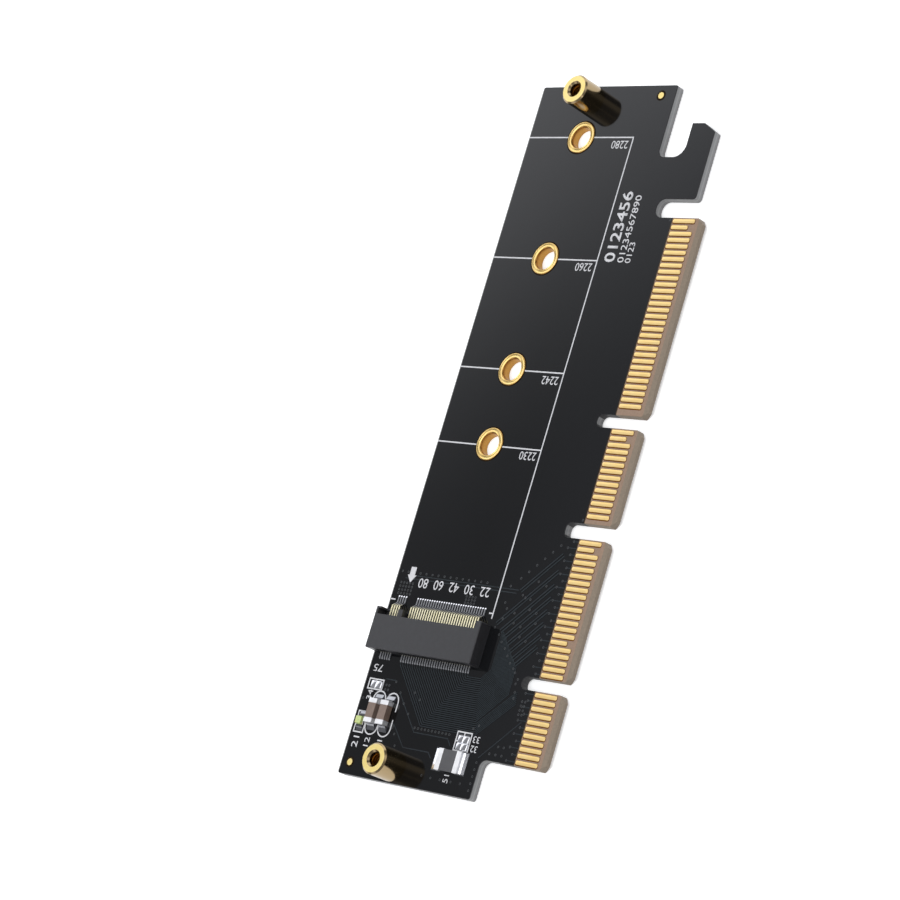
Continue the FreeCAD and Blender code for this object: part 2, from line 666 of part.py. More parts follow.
def socket_pads():
    """Solder pads under all the tails of the socket."""
    body = new_body("socket_pads", y=LINE_Y, z=BOARD_FACE)
    fronts = ("tail_root - 2 * strip_thick", "tail_reach + pad_beyond")
    backs = ("rear_reach - pad_beyond", "socket_back")
    for name, rows, (low, high) in (("front_pads", LOWER_ROWS, fronts),
                                    ("back_pads", UPPER_ROWS, backs)):
        comb(body, name, rows, [
            (along(low), "0"),
            (along(high), "0"),
            (along(high), "foil_thick"),
            (along(low), "foil_thick"),
        ], "pad_wide", cut=False)
    return body


# ---------------------------------------------------------------- small components
SPARE_PLACES = [
    ("spare_along", "spare_out"),
    ("spare_along + spare_next", "spare_out"),
    ("single_along", "single_out"),
]


def spare_rectangles(sketch, margin):
    """Two rectangles at each unused resistor place."""
    for place, out in SPARE_PLACES:
        for side in ("+", "-"):
            rectangle(sketch, along(place), f"{across(out)} {side} spare_pitch / 2",
                      f"spare_pad_long - 2 * {margin}", f"spare_pad_wide - 2 * {margin}")


def component_pads():
    """Tinned pads of the chips and of the unused resistor places."""
    body = new_body("component_pads", z=BOARD_FACE)
    sketch = sketch_on(body, "component_pad_outlines", "XY_Plane")
    for side in ("+", "-"):
        cap_x = f"{along('cap_along')} {side} ( cap_pad_span - cap_pad_long ) / 2"
        for out in ("cap_one_out", "cap_two_out"):
            rectangle(sketch, cap_x, across(out), "cap_pad_long", "cap_pad_wide")
        led_x = f"{along('led_along')} {side} ( led_pad_span - led_pad_long ) / 2"
        rectangle(sketch, led_x, across("led_out"), "led_pad_long", "led_pad_wide")
        fuse_y = f"{across('fuse_out')} {side} ( fuse_pad_span - fuse_pad_long ) / 2"
        rectangle(sketch, along("fuse_along"), fuse_y, "fuse_pad_wide", "fuse_pad_long")
    spare_rectangles(sketch, "0")
    pad(body, "component_pad_foil", sketch, "foil_thick")
    return body


def spare_solder_domes():
    """Solder left standing on the unused pads."""
    body = new_body("spare_solder_domes", z=PAD_FACE)
    sketch = sketch_on(body, "dome_outlines", "XY_Plane")
    spare_rectangles(sketch, "spare_dome_margin")
    made = pad(body, "dome_blocks", sketch, "spare_dome")
    doc.recompute()
    names = []
    for index, edge in enumerate(made.Shape.Edges, start=1):
        if edge.BoundBox.ZMax > number("spare_dome") / 2:
            names.append(f"Edge{index}")
    eased = body.newObject("PartDesign::Chamfer", "dome_easing")
    eased.Base = (made, names)
    eased.setExpression("Size", size("spare_dome_ease"))
    return body


def fiducial_dots():
    """Two round plated marks near opposite corners."""
    body = new_body("fiducial_dots", z=BOARD_FACE)
    sketch = sketch_on(body, "dot_outlines", "XY_Plane")
    circle(sketch, along("dot_near_along"), across("dot_near_out"), "dot_wide")
    circle(sketch, along("dot_far_along"), across("dot_far_out"), "dot_wide")
    pad(body, "dot_foil", sketch, "foil_thick")
    return body


def turn(body, degrees):
    """Turn a body about its own upright axis."""
    upward = FreeCAD.Vector(0, 0, 1)
    body.Placement = FreeCAD.Placement(body.Placement.Base, FreeCAD.Rotation(upward, degrees))


def chip_core(label, chip, x, y, degrees):
    """The insulating middle of a chip, which its end terminals wrap."""
    body = new_body(label, x, y, PAD_FACE)
    turn(body, degrees)
    sketch = sketch_on(body, f"{label}_outline", "XY_Plane", "band_thick")
    rectangle(sketch, "0", "0", f"{chip['long']} - 2 * band_thick",
              f"{chip['wide']} - 2 * band_thick")
    pad(body, f"{label}_block", sketch, f"{chip['tall']} - 2 * band_thick")
    return body


def chip_terminals(label, chip, x, y, degrees):
    """Two metal terminals that wrap five sides of the chip's ends."""
    body = new_body(label, x, y, PAD_FACE)
    turn(body, degrees)
    ends = sketch_on(body, f"{label}_outline", "XY_Plane")
    for side in ("+", "-"):
        middle = f"0 {side} ( {chip['long']} - {chip['band']} ) / 2"
        rectangle(ends, middle, "0", chip["band"], chip["wide"])
    block = pad(body, f"{label}_blocks", ends, chip["tall"])
    doc.recompute()
    eased = body.newObject("PartDesign::Chamfer", f"{label}_eased")
    eased.Base = (block, [f"Edge{i + 1}" for i in range(len(block.Shape.Edges))])
    eased.setExpression("Size", size("chip_edge"))
    inside = sketch_on(body, f"{label}_inside", "XY_Plane", "band_thick")
    rectangle(inside, "0", "0", f"{chip['long']} - 2 * band_thick",
              f"{chip['wide']} - 2 * band_thick")
    pocket(body, f"{label}_hollow", inside, f"{chip['tall']} - 2 * band_thick", upward=True)
    return body


def chip_solder(label, chip, x, y, degrees):
    """Concave solder between each end terminal and its pad."""
    body = new_body(label, x, y, PAD_FACE)
    turn(body, degrees)
    sketch = sketch_on(body, f"{label}_profile", "XZ_Plane")
    rise = f"{chip['tall']} * solder_rise"
    run = f"( {chip['span']} - {chip['long']} ) / 2"
    for side in ("0 +", "0 -"):
        root = f"{side} {chip['long']} / 2"
        polygon(sketch, [
            (root, "0"),
            (f"{side} ( {chip['long']} / 2 + {run} * solder_reach )", "0"),
            (f"{side} ( {chip['long']} / 2 + {run} * solder_toe_run )",
             f"{rise} * solder_toe_rise"),
            (f"{side} ( {chip['long']} / 2 + {run} * solder_neck_run )",
             f"{rise} * solder_neck_rise"),
            (root, rise),
        ])
    pad(body, f"{label}_wedges", sketch, f"{chip['wide']} * solder_wide", midplane=True)
    return body


def led_lens():
    """Clear lens that narrows upwards, between the light's terminals."""
    body = new_body("led_lens", along("led_along"), across("led_out"), PAD_FACE)
    sketch = sketch_on(body, "lens_profile", "XZ_Plane")
    low, high = "led_base_tall - band_thick", "led_base_tall + led_lens_tall"
    half = "led_lens_long / 2"
    polygon(sketch, [
        (f"0 - {half}", low),
        (half, low),
        (f"{half} - led_lens_draft", high),
        (f"led_lens_draft - {half}", high),
    ])
    pad(body, "lens_block", sketch, "led_wide - 2 * band_thick", midplane=True)
    return body


CAPACITOR = dict(long="cap_long", wide="cap_wide", tall="cap_tall", band="cap_band",
                 span="cap_pad_span")
FUSE = dict(long="fuse_long", wide="fuse_wide", tall="fuse_tall", band="fuse_band",
            span="fuse_pad_span")
LED = dict(long="led_long", wide="led_wide", tall="led_base_tall", band="led_band",
           span="led_pad_span")

CHIPS = [
    ("capacitor_1_body", "capacitor_1", CAPACITOR, "cap_along", "cap_one_out", 0),
    ("capacitor_2_body", "capacitor_2", CAPACITOR, "cap_along", "cap_two_out", 0),
    ("fuse_body", "fuse", FUSE, "fuse_along", "fuse_out", 90),
    ("led_base", "led", LED, "led_along", "led_out", 0),
]


# ---------------------------------------------------------------- build, check, write
def build_parts():
    """Every piece of the card."""
    parts = [
        circuit_board(),
        edge_contacts("front_edge_contacts", BOARD_FACE, SHORT_PINS_FRONT),
        edge_contacts("back_edge_contacts", "0", SHORT_PINS_BACK),
        hole_ring("hole_ring_30", "hole_first"),
        hole_ring("hole_ring_42", "hole_second"),
        hole_ring("hole_ring_60", "hole_third"),
        hole_ring("hole_ring_80", "hole_last"),
        standoff("front_standoff", "standoff_front"),
        standoff("rear_standoff", "standoff_rear"),
        socket_housing(),
        lower_contacts(),
        upper_contacts(),
        socket_pads(),
        component_pads(),
        spare_solder_domes(),
        fiducial_dots(),
        led_lens(),
    ]
    for core, stem, chip, place, out, degrees in CHIPS:
        x, y = along(place), across(out)
        parts.append(chip_core(core, chip, x, y, degrees))
        parts.append(chip_terminals(f"{stem}_terminals", chip, x, y, degrees))
        parts.append(chip_solder(f"{stem}_solder", chip, x, y, degrees))
    return parts


def check(parts):
    """Stop if any feature failed or any piece is not a sound solid."""
    for thing in doc.Objects:
        if "Invalid" in thing.State or "Error" in thing.State:
            raise RuntimeError(f"{thing.Name}: {thing.State}")
    for part in parts:
        shape = part.Shape
        if shape.isNull() or not shape.isValid() or not shape.Solids:
            raise RuntimeError(f"{part.Label} is not sound")


pieces = build_parts()
doc.recompute()
check(pieces)
os.makedirs("parts", exist_ok=True)
for piece in pieces:
    piece.Shape.exportStep(f"parts/{piece.Label}.step")
    print(f"{piece.Label}: {len(piece.Shape.Solids)} solids, {piece.Shape.Volume:.3f} mm3")
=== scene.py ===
import math

import bmesh
import bpy
from mathutils import Euler, Matrix, Vector


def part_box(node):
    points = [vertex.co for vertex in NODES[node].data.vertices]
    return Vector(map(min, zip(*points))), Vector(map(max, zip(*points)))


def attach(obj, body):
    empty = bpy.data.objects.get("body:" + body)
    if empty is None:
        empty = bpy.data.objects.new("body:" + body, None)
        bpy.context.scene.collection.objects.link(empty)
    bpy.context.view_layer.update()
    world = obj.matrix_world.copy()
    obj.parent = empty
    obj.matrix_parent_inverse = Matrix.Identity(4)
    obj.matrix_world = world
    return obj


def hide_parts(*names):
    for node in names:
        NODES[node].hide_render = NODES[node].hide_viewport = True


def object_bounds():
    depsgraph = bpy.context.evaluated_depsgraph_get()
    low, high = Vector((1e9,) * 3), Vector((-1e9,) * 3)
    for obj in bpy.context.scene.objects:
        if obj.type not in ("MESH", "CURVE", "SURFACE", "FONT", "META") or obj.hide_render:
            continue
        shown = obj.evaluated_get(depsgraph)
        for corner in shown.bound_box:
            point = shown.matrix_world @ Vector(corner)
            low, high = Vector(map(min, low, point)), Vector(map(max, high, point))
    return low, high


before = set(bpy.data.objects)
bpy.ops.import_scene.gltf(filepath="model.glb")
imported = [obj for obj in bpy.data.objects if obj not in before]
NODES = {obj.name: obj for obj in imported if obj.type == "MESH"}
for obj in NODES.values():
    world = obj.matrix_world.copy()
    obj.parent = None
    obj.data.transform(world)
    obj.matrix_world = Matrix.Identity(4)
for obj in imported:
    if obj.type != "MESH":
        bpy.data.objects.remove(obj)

bl_info = {
    "name": "Adapter card looks",
    "version": (1, 0, 0),
    "blender": (4, 5, 0),
    "location": "View3D > Sidebar > Card",
    "description": "Finishes, printing, traces, solder and threads of a module adapter card",
    "category": "Object",
}

# ---- the frame
MM = 0.001
CAD_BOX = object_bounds()
LOW, HIGH = CAD_BOX
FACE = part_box("circuit_board")[1].z
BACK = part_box("circuit_board")[0].z
LAST_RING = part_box("hole_ring_80")
RING_RADIUS = (LAST_RING[1].x - LAST_RING[0].x) / 2 / MM
MODULE_X = (LAST_RING[0].x + LAST_RING[1].x) / 2 - 80 * MM
LINE_Y = (LAST_RING[0].y + LAST_RING[1].y) / 2
LINE_V = (HIGH.y - LINE_Y) / MM
PAD_RISE = (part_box("component_pads")[1].z - FACE) / MM
TAIL_PITCH = 0.5
# contacts of the slot edge: first and last of each tab, and where each one stands
TABS = ((1, 11), (12, 32), (36, 49), (53, 82))
FIRST_KEYED_PIN = 12
FIRST_PIN_U = -16.38
PIN_PITCH = 1.0


def spot(u, v, height=0.0):
    """A place in metres: u runs along the card from the module's connector edge, v from the
    plain long edge and height from the component side, all in millimetres."""
    return Vector((MODULE_X + u * MM, HIGH.y - v * MM, FACE + height * MM))


def pin_u(pin):
    """Where an edge contact stands along the card, in millimetres."""
    return FIRST_PIN_U + PIN_PITCH * (pin - 1 if pin < FIRST_KEYED_PIN else pin + 1)


# ---- material helpers
def linear(code):
    """An sRGB hex colour as linear RGBA."""
    out = []
    for start in (0, 2, 4):
        value = int(code[start:start + 2], 16) / 255
        out.append(value / 12.92 if value <= 0.04045 else ((value + 0.055) / 1.055) ** 2.4)
    return (*out, 1.0)


def add_node(tree, kind, *values, links=None, out=0, **settings):
    """Add one shader node and return one of its outputs. Values fill its inputs in order and
    links by name, each a socket, a number or an sRGB hex colour; settings are its properties."""
    node = tree.nodes.new("ShaderNode" + kind)
    for name, value in settings.items():
        setattr(node, name, value)
    for key, value in (*enumerate(values), *(links or {}).items()):
        if isinstance(value, bpy.types.NodeSocket):
            tree.links.new(value, node.inputs[key])
        elif value is not None:
            node.inputs[key].default_value = linear(value) if isinstance(value, str) else value
    return node.outputs[out] if node.outputs else node


def finish(name, paint):
    """A material made by one painting function, which returns the shader's inputs."""
    material = bpy.data.materials.new(name)
    material.use_nodes = True
    tree = material.node_tree
    tree.nodes.clear()
    shader = add_node(tree, "BsdfPrincipled", links=paint(tree))
    add_node(tree, "OutputMaterial", shader)
    return material


def grain(tree, millimetres, detail=2.0, stretch=(1, 1, 1)):
    """A cloudy pattern on object coordinates whose features are about this many millimetres."""
    place = add_node(tree, "TexCoord", out="Object")
    scaled = add_node(tree, "Mapping", links={"Vector": place, "Scale": stretch})
    return add_node(tree, "TexNoise", out="Fac", links={
        "Vector": scaled, "Scale": 1 / (millimetres * MM), "Detail": detail})


# ---- finishes
MASK_END = 34.05      # mm from the plain edge to where the mask stops on the tabs
MASK_LIP = 0.16       # mm of thinned mask along that line
HOOK_START = 69.0     # mm from the connector edge; the hook past this is covered
SHADED_NOTCH_START = 30.9    # mm from the plain edge; past this the walls of the notches are painted dark as shade
PLAIN_EDGE_HIGHLIGHT = 0.2       # mm of the face along the plain edge painted pale as a highlight
EDGE_LIGHT_BAND = 0.62            # mm of the routed edge next to each face painted lighter; the band between is painted darker as shade
GREYER_FROM = 16.0    # mm from the plain edge where the mask starts to turn a shade greyer
MASK_EDGE = 0.12      # mm of mask seen at the top and bottom of the routed edge


def masked_laminate(tree):
    """Glass-epoxy laminate under black liquid photo-imaged solder mask: glossy and nearly
    black on both faces and thin and brown where it stops on the tabs, with a pale strip of
    painted highlight along the plain edge. The outline is routed, so the edge is pale grey resin
    and glass, with the mask's dark line at each face, a darker band through its middle that is
    painted shade, and the walls of the narrow notches painted dark as shade. The tabs are bare,
    brown-grey and dull, with the weave just showing."""
    place = add_node(tree, "TexCoord", out="Object")
    along, across, height = (add_node(tree, "SeparateXYZ", place, out=axis) for axis in "XYZ")
    facing = add_node(tree, "NewGeometry", out="Normal")
    up = add_node(tree, "Math", add_node(tree, "SeparateXYZ", facing, out="Z"), operation="ABSOLUTE")
    flat = add_node(tree, "Math", up, 0.9, operation="GREATER_THAN")
    edge_y = HIGH.y - MASK_END * MM
    on_tabs = add_node(tree, "Math", along, MODULE_X + HOOK_START * MM, operation="LESS_THAN")
    past_mask = add_node(tree, "Math", across, edge_y, operation="LESS_THAN")
    past_lip = add_node(tree, "Math", across, edge_y + MASK_LIP * MM, operation="LESS_THAN")
    bare = add_node(tree, "Math", past_mask, on_tabs, operation="MULTIPLY")
    thinned = add_node(tree, "Math", past_lip, on_tabs, operation="MULTIPLY")
    past_notch_shade_start = add_node(tree, "Math", across, HIGH.y - SHADED_NOTCH_START * MM, operation="LESS_THAN")
    notch_shade_zone = add_node(tree, "Math", past_notch_shade_start, on_tabs, operation="MULTIPLY")
    notch_shade = add_node(tree, "Math", notch_shade_zone, past_mask, operation="SUBTRACT", use_clamp=True)
    plain_edge_highlight = add_node(tree, "Math", across, HIGH.y - PLAIN_EDGE_HIGHLIGHT * MM, operation="GREATER_THAN")
    centred = add_node(tree, "Math", height, (FACE + BACK) / 2, operation="SUBTRACT")
    off_middle = add_node(tree, "Math", centred, operation="ABSOLUTE")
    half = (FACE - BACK) / 2
    lip = add_node(tree, "MapRange", off_middle, half - (MASK_EDGE + 0.04) * MM,
                   half - (MASK_EDGE - 0.04) * MM, 0.0, 1.0)
    in_lighter_band = add_node(tree, "Math", off_middle, half - EDGE_LIGHT_BAND * MM, operation="GREATER_THAN")

    weave = grain(tree, 0.3, 3.0)
    # the routed edge is painted darker in its middle band than next to the faces: painted shade
    edge_band_tone = add_node(tree, "MixRGB", in_lighter_band, "a2a2a1", "7e7e7f")
    glass = add_node(tree, "MixRGB", weave, edge_band_tone, "979796")
    # the walls of the key notches are painted dark grey: painted shade
    routed = add_node(tree, "MixRGB", notch_shade, glass, "39393a")
    edge = add_node(tree, "MixRGB", lip, routed, "1c1c1d")
    bevel = add_node(tree, "MixRGB", weave, "776a5b", "8f806d")
    side = add_node(tree, "MixRGB", bare, edge, bevel)
    tab = add_node(tree, "MixRGB", weave, "7c6552", "9a7f6a")
    mask = add_node(tree, "MixRGB", grain(tree, 6.0), "07080a", "0a0b0d")
    towards_tabs = add_node(tree, "MapRange", across, HIGH.y - GREYER_FROM * MM, edge_y, 0.0, 1.0)
    mask = add_node(tree, "MixRGB", towards_tabs, mask, "131416")
    # a pale strip along the plain edge: painted highlight
    mask = add_node(tree, "MixRGB", plain_edge_highlight, mask, "a6a6a4")
    covered = add_node(tree, "MixRGB", thinned, mask, "3a2c17")
    face = add_node(tree, "MixRGB", bare, covered, tab)
    tone = add_node(tree, "MixRGB", flat, side, face)
    masked = add_node(tree, "Math", flat, bare, operation="SUBTRACT")
    gloss = add_node(tree, "MapRange", masked, 0.0, 1.0, 0.62, 0.07)
    ripple = add_node(tree, "Bump", links={
        "Height": grain(tree, 2.2, 1.0), "Strength": 0.06, "Distance": 0.01 * MM})
    return {"Base Color": tone, "Roughness": gloss, "Normal": ripple, "IOR": 1.52}


def mask_over_copper(tree):
    """The same mask where copper runs under it: raised and a shade lighter, with a blue tint that is a
    painted sheen.
    """
    # the bluish tone is a painted sheen
    tone = add_node(tree, "MixRGB", grain(tree, 1.2), "1f2427", "2a3135")
    ripple = add_node(tree, "Bump", links={
        "Height": grain(tree, 0.4), "Strength": 0.08, "Distance": 0.01 * MM})
    return {"Base Color": tone, "Roughness": 0.14, "Normal": ripple, "IOR": 1.52}


def spring_strip(tree):
    """Phosphor bronze strip, gold flashed where the module touches it and tinned on the tails:
    cream coloured in the socket, grey where it is soldered."""
    place = add_node(tree, "TexCoord", out="Object")
    along = add_node(tree, "SeparateXYZ", place, out="X")
    front = add_node(tree, "MapRange", along, MODULE_X + 3.2 * MM, MODULE_X + 3.7 * MM, 0.0, 1.0)
    rear = add_node(tree, "MapRange", along, MODULE_X - 4.0 * MM, MODULE_X - 3.6 * MM, 1.0, 0.0)
    tail = add_node(tree, "Math", front, rear, operation="MAXIMUM")
    gold = add_node(tree, "MixRGB", grain(tree, 1.5), "f4ebbc", "fffae0")
    tone = add_node(tree, "MixRGB", tail, gold, "8d8e91")
    gloss = add_node(tree, "MapRange", grain(tree, 0.3), 0.0, 1.0, 0.46, 0.56)
    return {"Base Color": tone, "Roughness": gloss, "Metallic": 1.0}


def surface(dark, light, millimetres, rough, ior=None, stretch=(1, 1, 1), sides=None, **more):
    """A finish whose tone and polish vary with its grain. One with no IOR is a metal. Sides is
    the tone and roughness of upright faces: the roughness is their own polish, and the darker
    tone is painted shade."""
    def paint(tree):
        mark = grain(tree, millimetres, 3.0, stretch)
        tone = add_node(tree, "MixRGB", grain(tree, millimetres * 6, 1.0), dark, light)
        gloss = add_node(tree, "MapRange", mark, 0.0, 1.0, *rough)
        if sides:
            facing = add_node(tree, "NewGeometry", out="Normal")
            up = add_node(tree, "SeparateXYZ", facing, out="Z")
            level = add_node(tree, "Math", up, operation="ABSOLUTE")
            flat = add_node(tree, "MapRange", level, 0.8, 0.95, 0.0, 1.0)
            # upright faces take the darker tone of sides, which is painted shade
            tone = add_node(tree, "MixRGB", flat, sides[0], tone)
            gloss = add_node(tree, "MapRange", flat, 0.0, 1.0, sides[1], gloss)
        marked = add_node(tree, "Bump", links={
            "Height": mark, "Strength": 0.2, "Distance": 0.008 * MM})
        kind = {"Metallic": 1.0} if ior is None else {"IOR": ior}
        return {"Base Color": tone, "Roughness": gloss, "Normal": marked, **kind, **more}
    return paint


def length(name, description, size):
    """A length that a user may change."""
    return bpy.props.FloatProperty(
        name=name, description=description, default=size * MM, unit="LENGTH")


class FinishSettings(bpy.types.PropertyGroup):
    """Colours that a user may change."""
    gold: bpy.props.FloatVectorProperty(
        name="Gold", description="Plated contacts", size=4, subtype="COLOR",
        default=linear("f8dc9e"))
    brass: bpy.props.FloatVectorProperty(
        name="Brass", description="Tops of the standoffs", size=4, subtype="COLOR",
        default=linear("fdeaa4"))
    ink: bpy.props.FloatVectorProperty(
        name="Ink", description="Screen printing", size=4, subtype="COLOR",
        default=linear("d6d6d8"))
    resin: bpy.props.FloatVectorProperty(
        name="Lens", description="Lens of the light", size=4, subtype="COLOR",
        default=linear("cfdb9c"))


def make_finishes(chosen):
    """Every finish of the card, by name."""
    recipes = {
        "laminate": ("black_solder_mask_on_laminate", masked_laminate),
        "over_copper": ("solder_mask_over_copper", mask_over_copper),
        "spring_metal": ("gold_flashed_bronze", spring_strip),
        # hard gold plated over nickel and lightly burnished by the slot: warm, softly glossy
        "gold": ("plated_hard_gold", surface(
            "f4d083", tuple(chosen.gold), 0.25, (0.36, 0.5), stretch=(3, 0.6, 1))),
        # gold over the drilled sleeve: brighter on the land; its upright faces down the bore are
        # painted browner as shade
        "ring_gold": ("plated_sleeve_gold", surface(
            "e3bd6c", "f3d792", 0.3, (0.2, 0.32), sides=("b08445", 0.28))),
        # brass turned on a lathe and clear plated: pale yellow on top, the shaft polished, with fine
        # turning marks round it, and painted browner as shade
        "brass": ("turned_brass", surface(
            "f8dc84", tuple(chosen.brass), 0.12, (0.36, 0.48), stretch=(1, 1, 6),
            sides=("9e8a68", 0.17))),
        # the thread in the bore, seldom lit: brass painted dark brown as shade
        "bore_brass": ("brass_painted_dark_as_shade", surface("95682f", "bd9048", 0.1, (0.25, 0.35))),
        # dull brown strips round each contact, reaching furthest on its low-u side: painted shadow
        "painted_contact_shadow": ("painted_shadow_round_contacts", surface("5e3408", "7d4c14", 0.2, (0.45, 0.6))),
        # nearly black metal: round the plated rings, painted shade at the mask's edge; round the
        # placing marks, the bare mask opening
        "opening": ("dark_opening_and_painted_shade", surface("1a1108", "2a1c0c", 0.2, (0.4, 0.55))),
        # tin plated on the components' ends: silver white, slightly cloudy
        "tin": ("matt_tin", surface("e4e4e6", "ffffff", 0.2, (0.42, 0.56))),
        # solder reflowed in the oven: smooth, mirror-like, picking up the dark board
        "solder": ("reflowed_solder", surface("d8d9dc", "eeeef2", 0.4, (0.1, 0.18))),
        # solder run up the components' ends: the same, but painted darker as shade, where it mirrors
        # the dark board
        "solder_painted_darker": ("solder_painted_darker", surface("8a8b8f", "a8a9ad", 0.4, (0.1, 0.18))),
        # tinned lands under the socket's tails: thin, grey and dull
        "dull_tin": ("thin_tinned_copper", surface("4c4d50", "626366", 0.2, (0.35, 0.5))),
        # black strips beside each trace: painted shade where the mask dips at the copper's foot, and
        # it mirrors very little
        "painted_trace_shade": ("painted_shade_beside_copper", surface("020203", "040405", 1.0, (0.1, 0.14), 1.25)),
        # a plated via under the mask: painted a shade lighter than a trace, as a painted highlight
        # where the mask rounds over it
        "via_land": ("plated_via_under_mask", surface("2c2e30", "3e4042", 0.2, (0.25, 0.35), 1.52)),
        # glass-filled nylon as moulded: black, with a fine even matt grain
        "housing_black": ("moulded_glass_filled_nylon", surface(
            "252527", "2d2d30", 0.12, (0.36, 0.48), 1.53)),
        # fired barium titanate: grey brown, semi-matt, faintly speckled
        "ceramic_brown": ("fired_ceramic", surface("6d5b4f", "7d6b5f", 0.1, (0.4, 0.55), 1.6)),
        # epoxy-coated fuse body: dull dark grey
        "fuse_grey": ("epoxy_coated_ceramic", surface("414143", "4e4e50", 0.15, (0.4, 0.55), 1.54)),
        # cast epoxy with phosphor in it: yellow-green, milky, smooth on top
        "lens_green": ("tinted_cast_epoxy", surface(
            "b4c474", tuple(chosen.resin), 0.3, (0.24, 0.32), 1.54,
            **{"Subsurface Weight": 0.15, "Subsurface Scale": 0.4 * MM})),
        # white moulded resin of the light's base: even and semi-matt
        "led_white": ("white_moulded_resin", surface("dcdcd8", "f2f2ee", 0.2, (0.4, 0.55), 1.52)),
        # white epoxy ink, screen printed: matt, with a slightly uneven film
        "ink": ("white_epoxy_ink", surface("bcbcbe", tuple(chosen.ink), 0.15, (0.45, 0.6), 1.5)),
    }
    return {key: finish(name, paint) for key, (name, paint) in recipes.items()}


# ---- modelling helpers
def only(item):
    """Deselect everything, then select and activate one object."""
    bpy.ops.object.select_all(action="DESELECT")
    item.select_set(True)
    bpy.context.view_layer.objects.active = item


def join(items, name):
    """Join objects into one and settle its place into its mesh."""
    bpy.ops.object.select_all(action="DESELECT")
    for item in items:
        item.select_set(True)
    bpy.context.view_layer.objects.active = items[0]
    if len(items) > 1:
        bpy.ops.object.join()
    piece = bpy.context.object
    piece.name = name
    bpy.ops.object.transform_apply(location=True, rotation=True, scale=True)
    return piece


def settle(piece, finish, turn_normals=True):
    """Turn the faces outwards, then give the piece its body and finish."""
    only(piece)
    if turn_normals:
        bpy.ops.object.mode_set(mode="EDIT")
        bpy.ops.mesh.select_all(action="SELECT")
        bpy.ops.mesh.normals_make_consistent(inside=False)
        bpy.ops.object.mode_set(mode="OBJECT")
    if not piece.data.polygons:
        raise RuntimeError(f"{piece.name} has no faces")
    piece.data.materials.clear()
    piece.data.materials.append(FINISHES[finish])
    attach(piece, "root")
    return piece


def flat_curve(name, paths, fill="NONE"):
    """A flat curve object; each path is its points in u and v, and whether it is closed."""
    data = bpy.data.curves.new(name, "CURVE")
    data.dimensions = "2D"
    data.fill_mode = fill
    for points, closed in paths:
        spline = data.splines.new("POLY")
        spline.points.add(len(points) - 1)
        for point, (u, v) in zip(spline.points, points):
            place = spot(u, v)
            point.co = (place.x, place.y, 0, 1)
        spline.use_cyclic_u = closed
    item = bpy.data.objects.new(name, data)
    bpy.context.collection.objects.link(item)
    return item


def thicken(item, rise, underside):
    """Make a flat curve a mesh and give it a body that stands on one of the card's faces."""
    only(item)
    bpy.ops.object.convert(target="MESH")
    item = bpy.context.object
    bpy.ops.object.shade_flat()
    body = item.modifiers.new("body", "SOLIDIFY")
    body.thickness = rise
    body.offset = -1 if underside else 1
    bpy.ops.object.modifier_apply(modifier="body")
    item.location.z = BACK if underside else FACE
    return join([item], item.name)


def break_edges(item, width, segments, degrees):
    """Bevel the edges of the active object that turn more than this angle."""
    edges = item.modifiers.new("edges", "BEVEL")
    edges.width = width
    edges.segments = segments
    edges.limit_method = "ANGLE"
    edges.angle_limit = math.radians(degrees)
    bpy.ops.object.modifier_apply(modifier="edges")


def small_box(size):
    """A box of this size about the origin, its scale settled into its mesh."""
    bpy.ops.object.select_all(action="DESELECT")
    bpy.ops.mesh.primitive_cube_add(size=1)
    item = bpy.context.object
    item.scale = size
    bpy.ops.object.transform_apply(location=False, rotation=False, scale=True)
    return item


def screwed(item, steps, rise=0.0, turns=1):
    """Turn the active object about Z; with a rise it becomes a helix."""
    screw = item.modifiers.new("screw", "SCREW")
    screw.axis = "Z"
    screw.angle = math.tau
    screw.screw_offset = rise
    screw.iterations = turns
    screw.steps = screw.render_steps = steps
    screw.use_merge_vertices = True
    screw.merge_threshold = 0.001 * MM
    bpy.ops.object.modifier_apply(modifier="screw")


def turned(name, profile, middle, steps):
    """A closed profile of radius and height in millimetres, turned about an upright axis."""
    data = bpy.data.curves.new(name, "CURVE")
    data.dimensions = "2D"
    data.fill_mode = "NONE"
    spline = data.splines.new("POLY")
    spline.points.add(len(profile) - 1)
    for point, (radius, height) in zip(spline.points, profile):
        point.co = (radius * MM, height * MM, 0, 1)
    spline.use_cyclic_u = True
    item = bpy.data.objects.new(name, data)
    bpy.context.collection.objects.link(item)
    only(item)
    bpy.ops.object.convert(target="MESH")
    item = bpy.context.object
    item.rotation_euler.x = math.pi / 2
    bpy.ops.object.transform_apply(location=True, rotation=True, scale=True)
    screwed(item, steps)
    item.location = (middle.x, middle.y, 0)
    piece = join([item], name)
    bpy.ops.object.shade_smooth_by_angle(angle=math.radians(40))
    return piece


def ribbons(name, paths, width, rise, underside=False):
    """Lines of one width with mitred corners."""
    edge = bpy.data.curves.new("edge", "CURVE")
    edge.dimensions = "2D"
    spline = edge.splines.new("POLY")
    spline.points.add(1)
    spline.points[0].co = (-width / 2, 0, 0, 1)
    spline.points[1].co = (width / 2, 0, 0, 1)
    profile = bpy.data.objects.new("edge", edge)
    bpy.context.collection.objects.link(profile)
    lines = flat_curve(name, paths)
    lines.data.bevel_mode = "OBJECT"
    lines.data.bevel_object = profile
    piece = thicken(lines, rise, underside)
    bpy.data.objects.remove(profile)
    return piece


def filled(name, outlines, rise, underside=False):
    """Closed outlines filled and thickened; an outline inside another is a hole."""
    shape = flat_curve(name, [(outline, True) for outline in outlines], "BOTH")
    return thicken(shape, rise, underside)


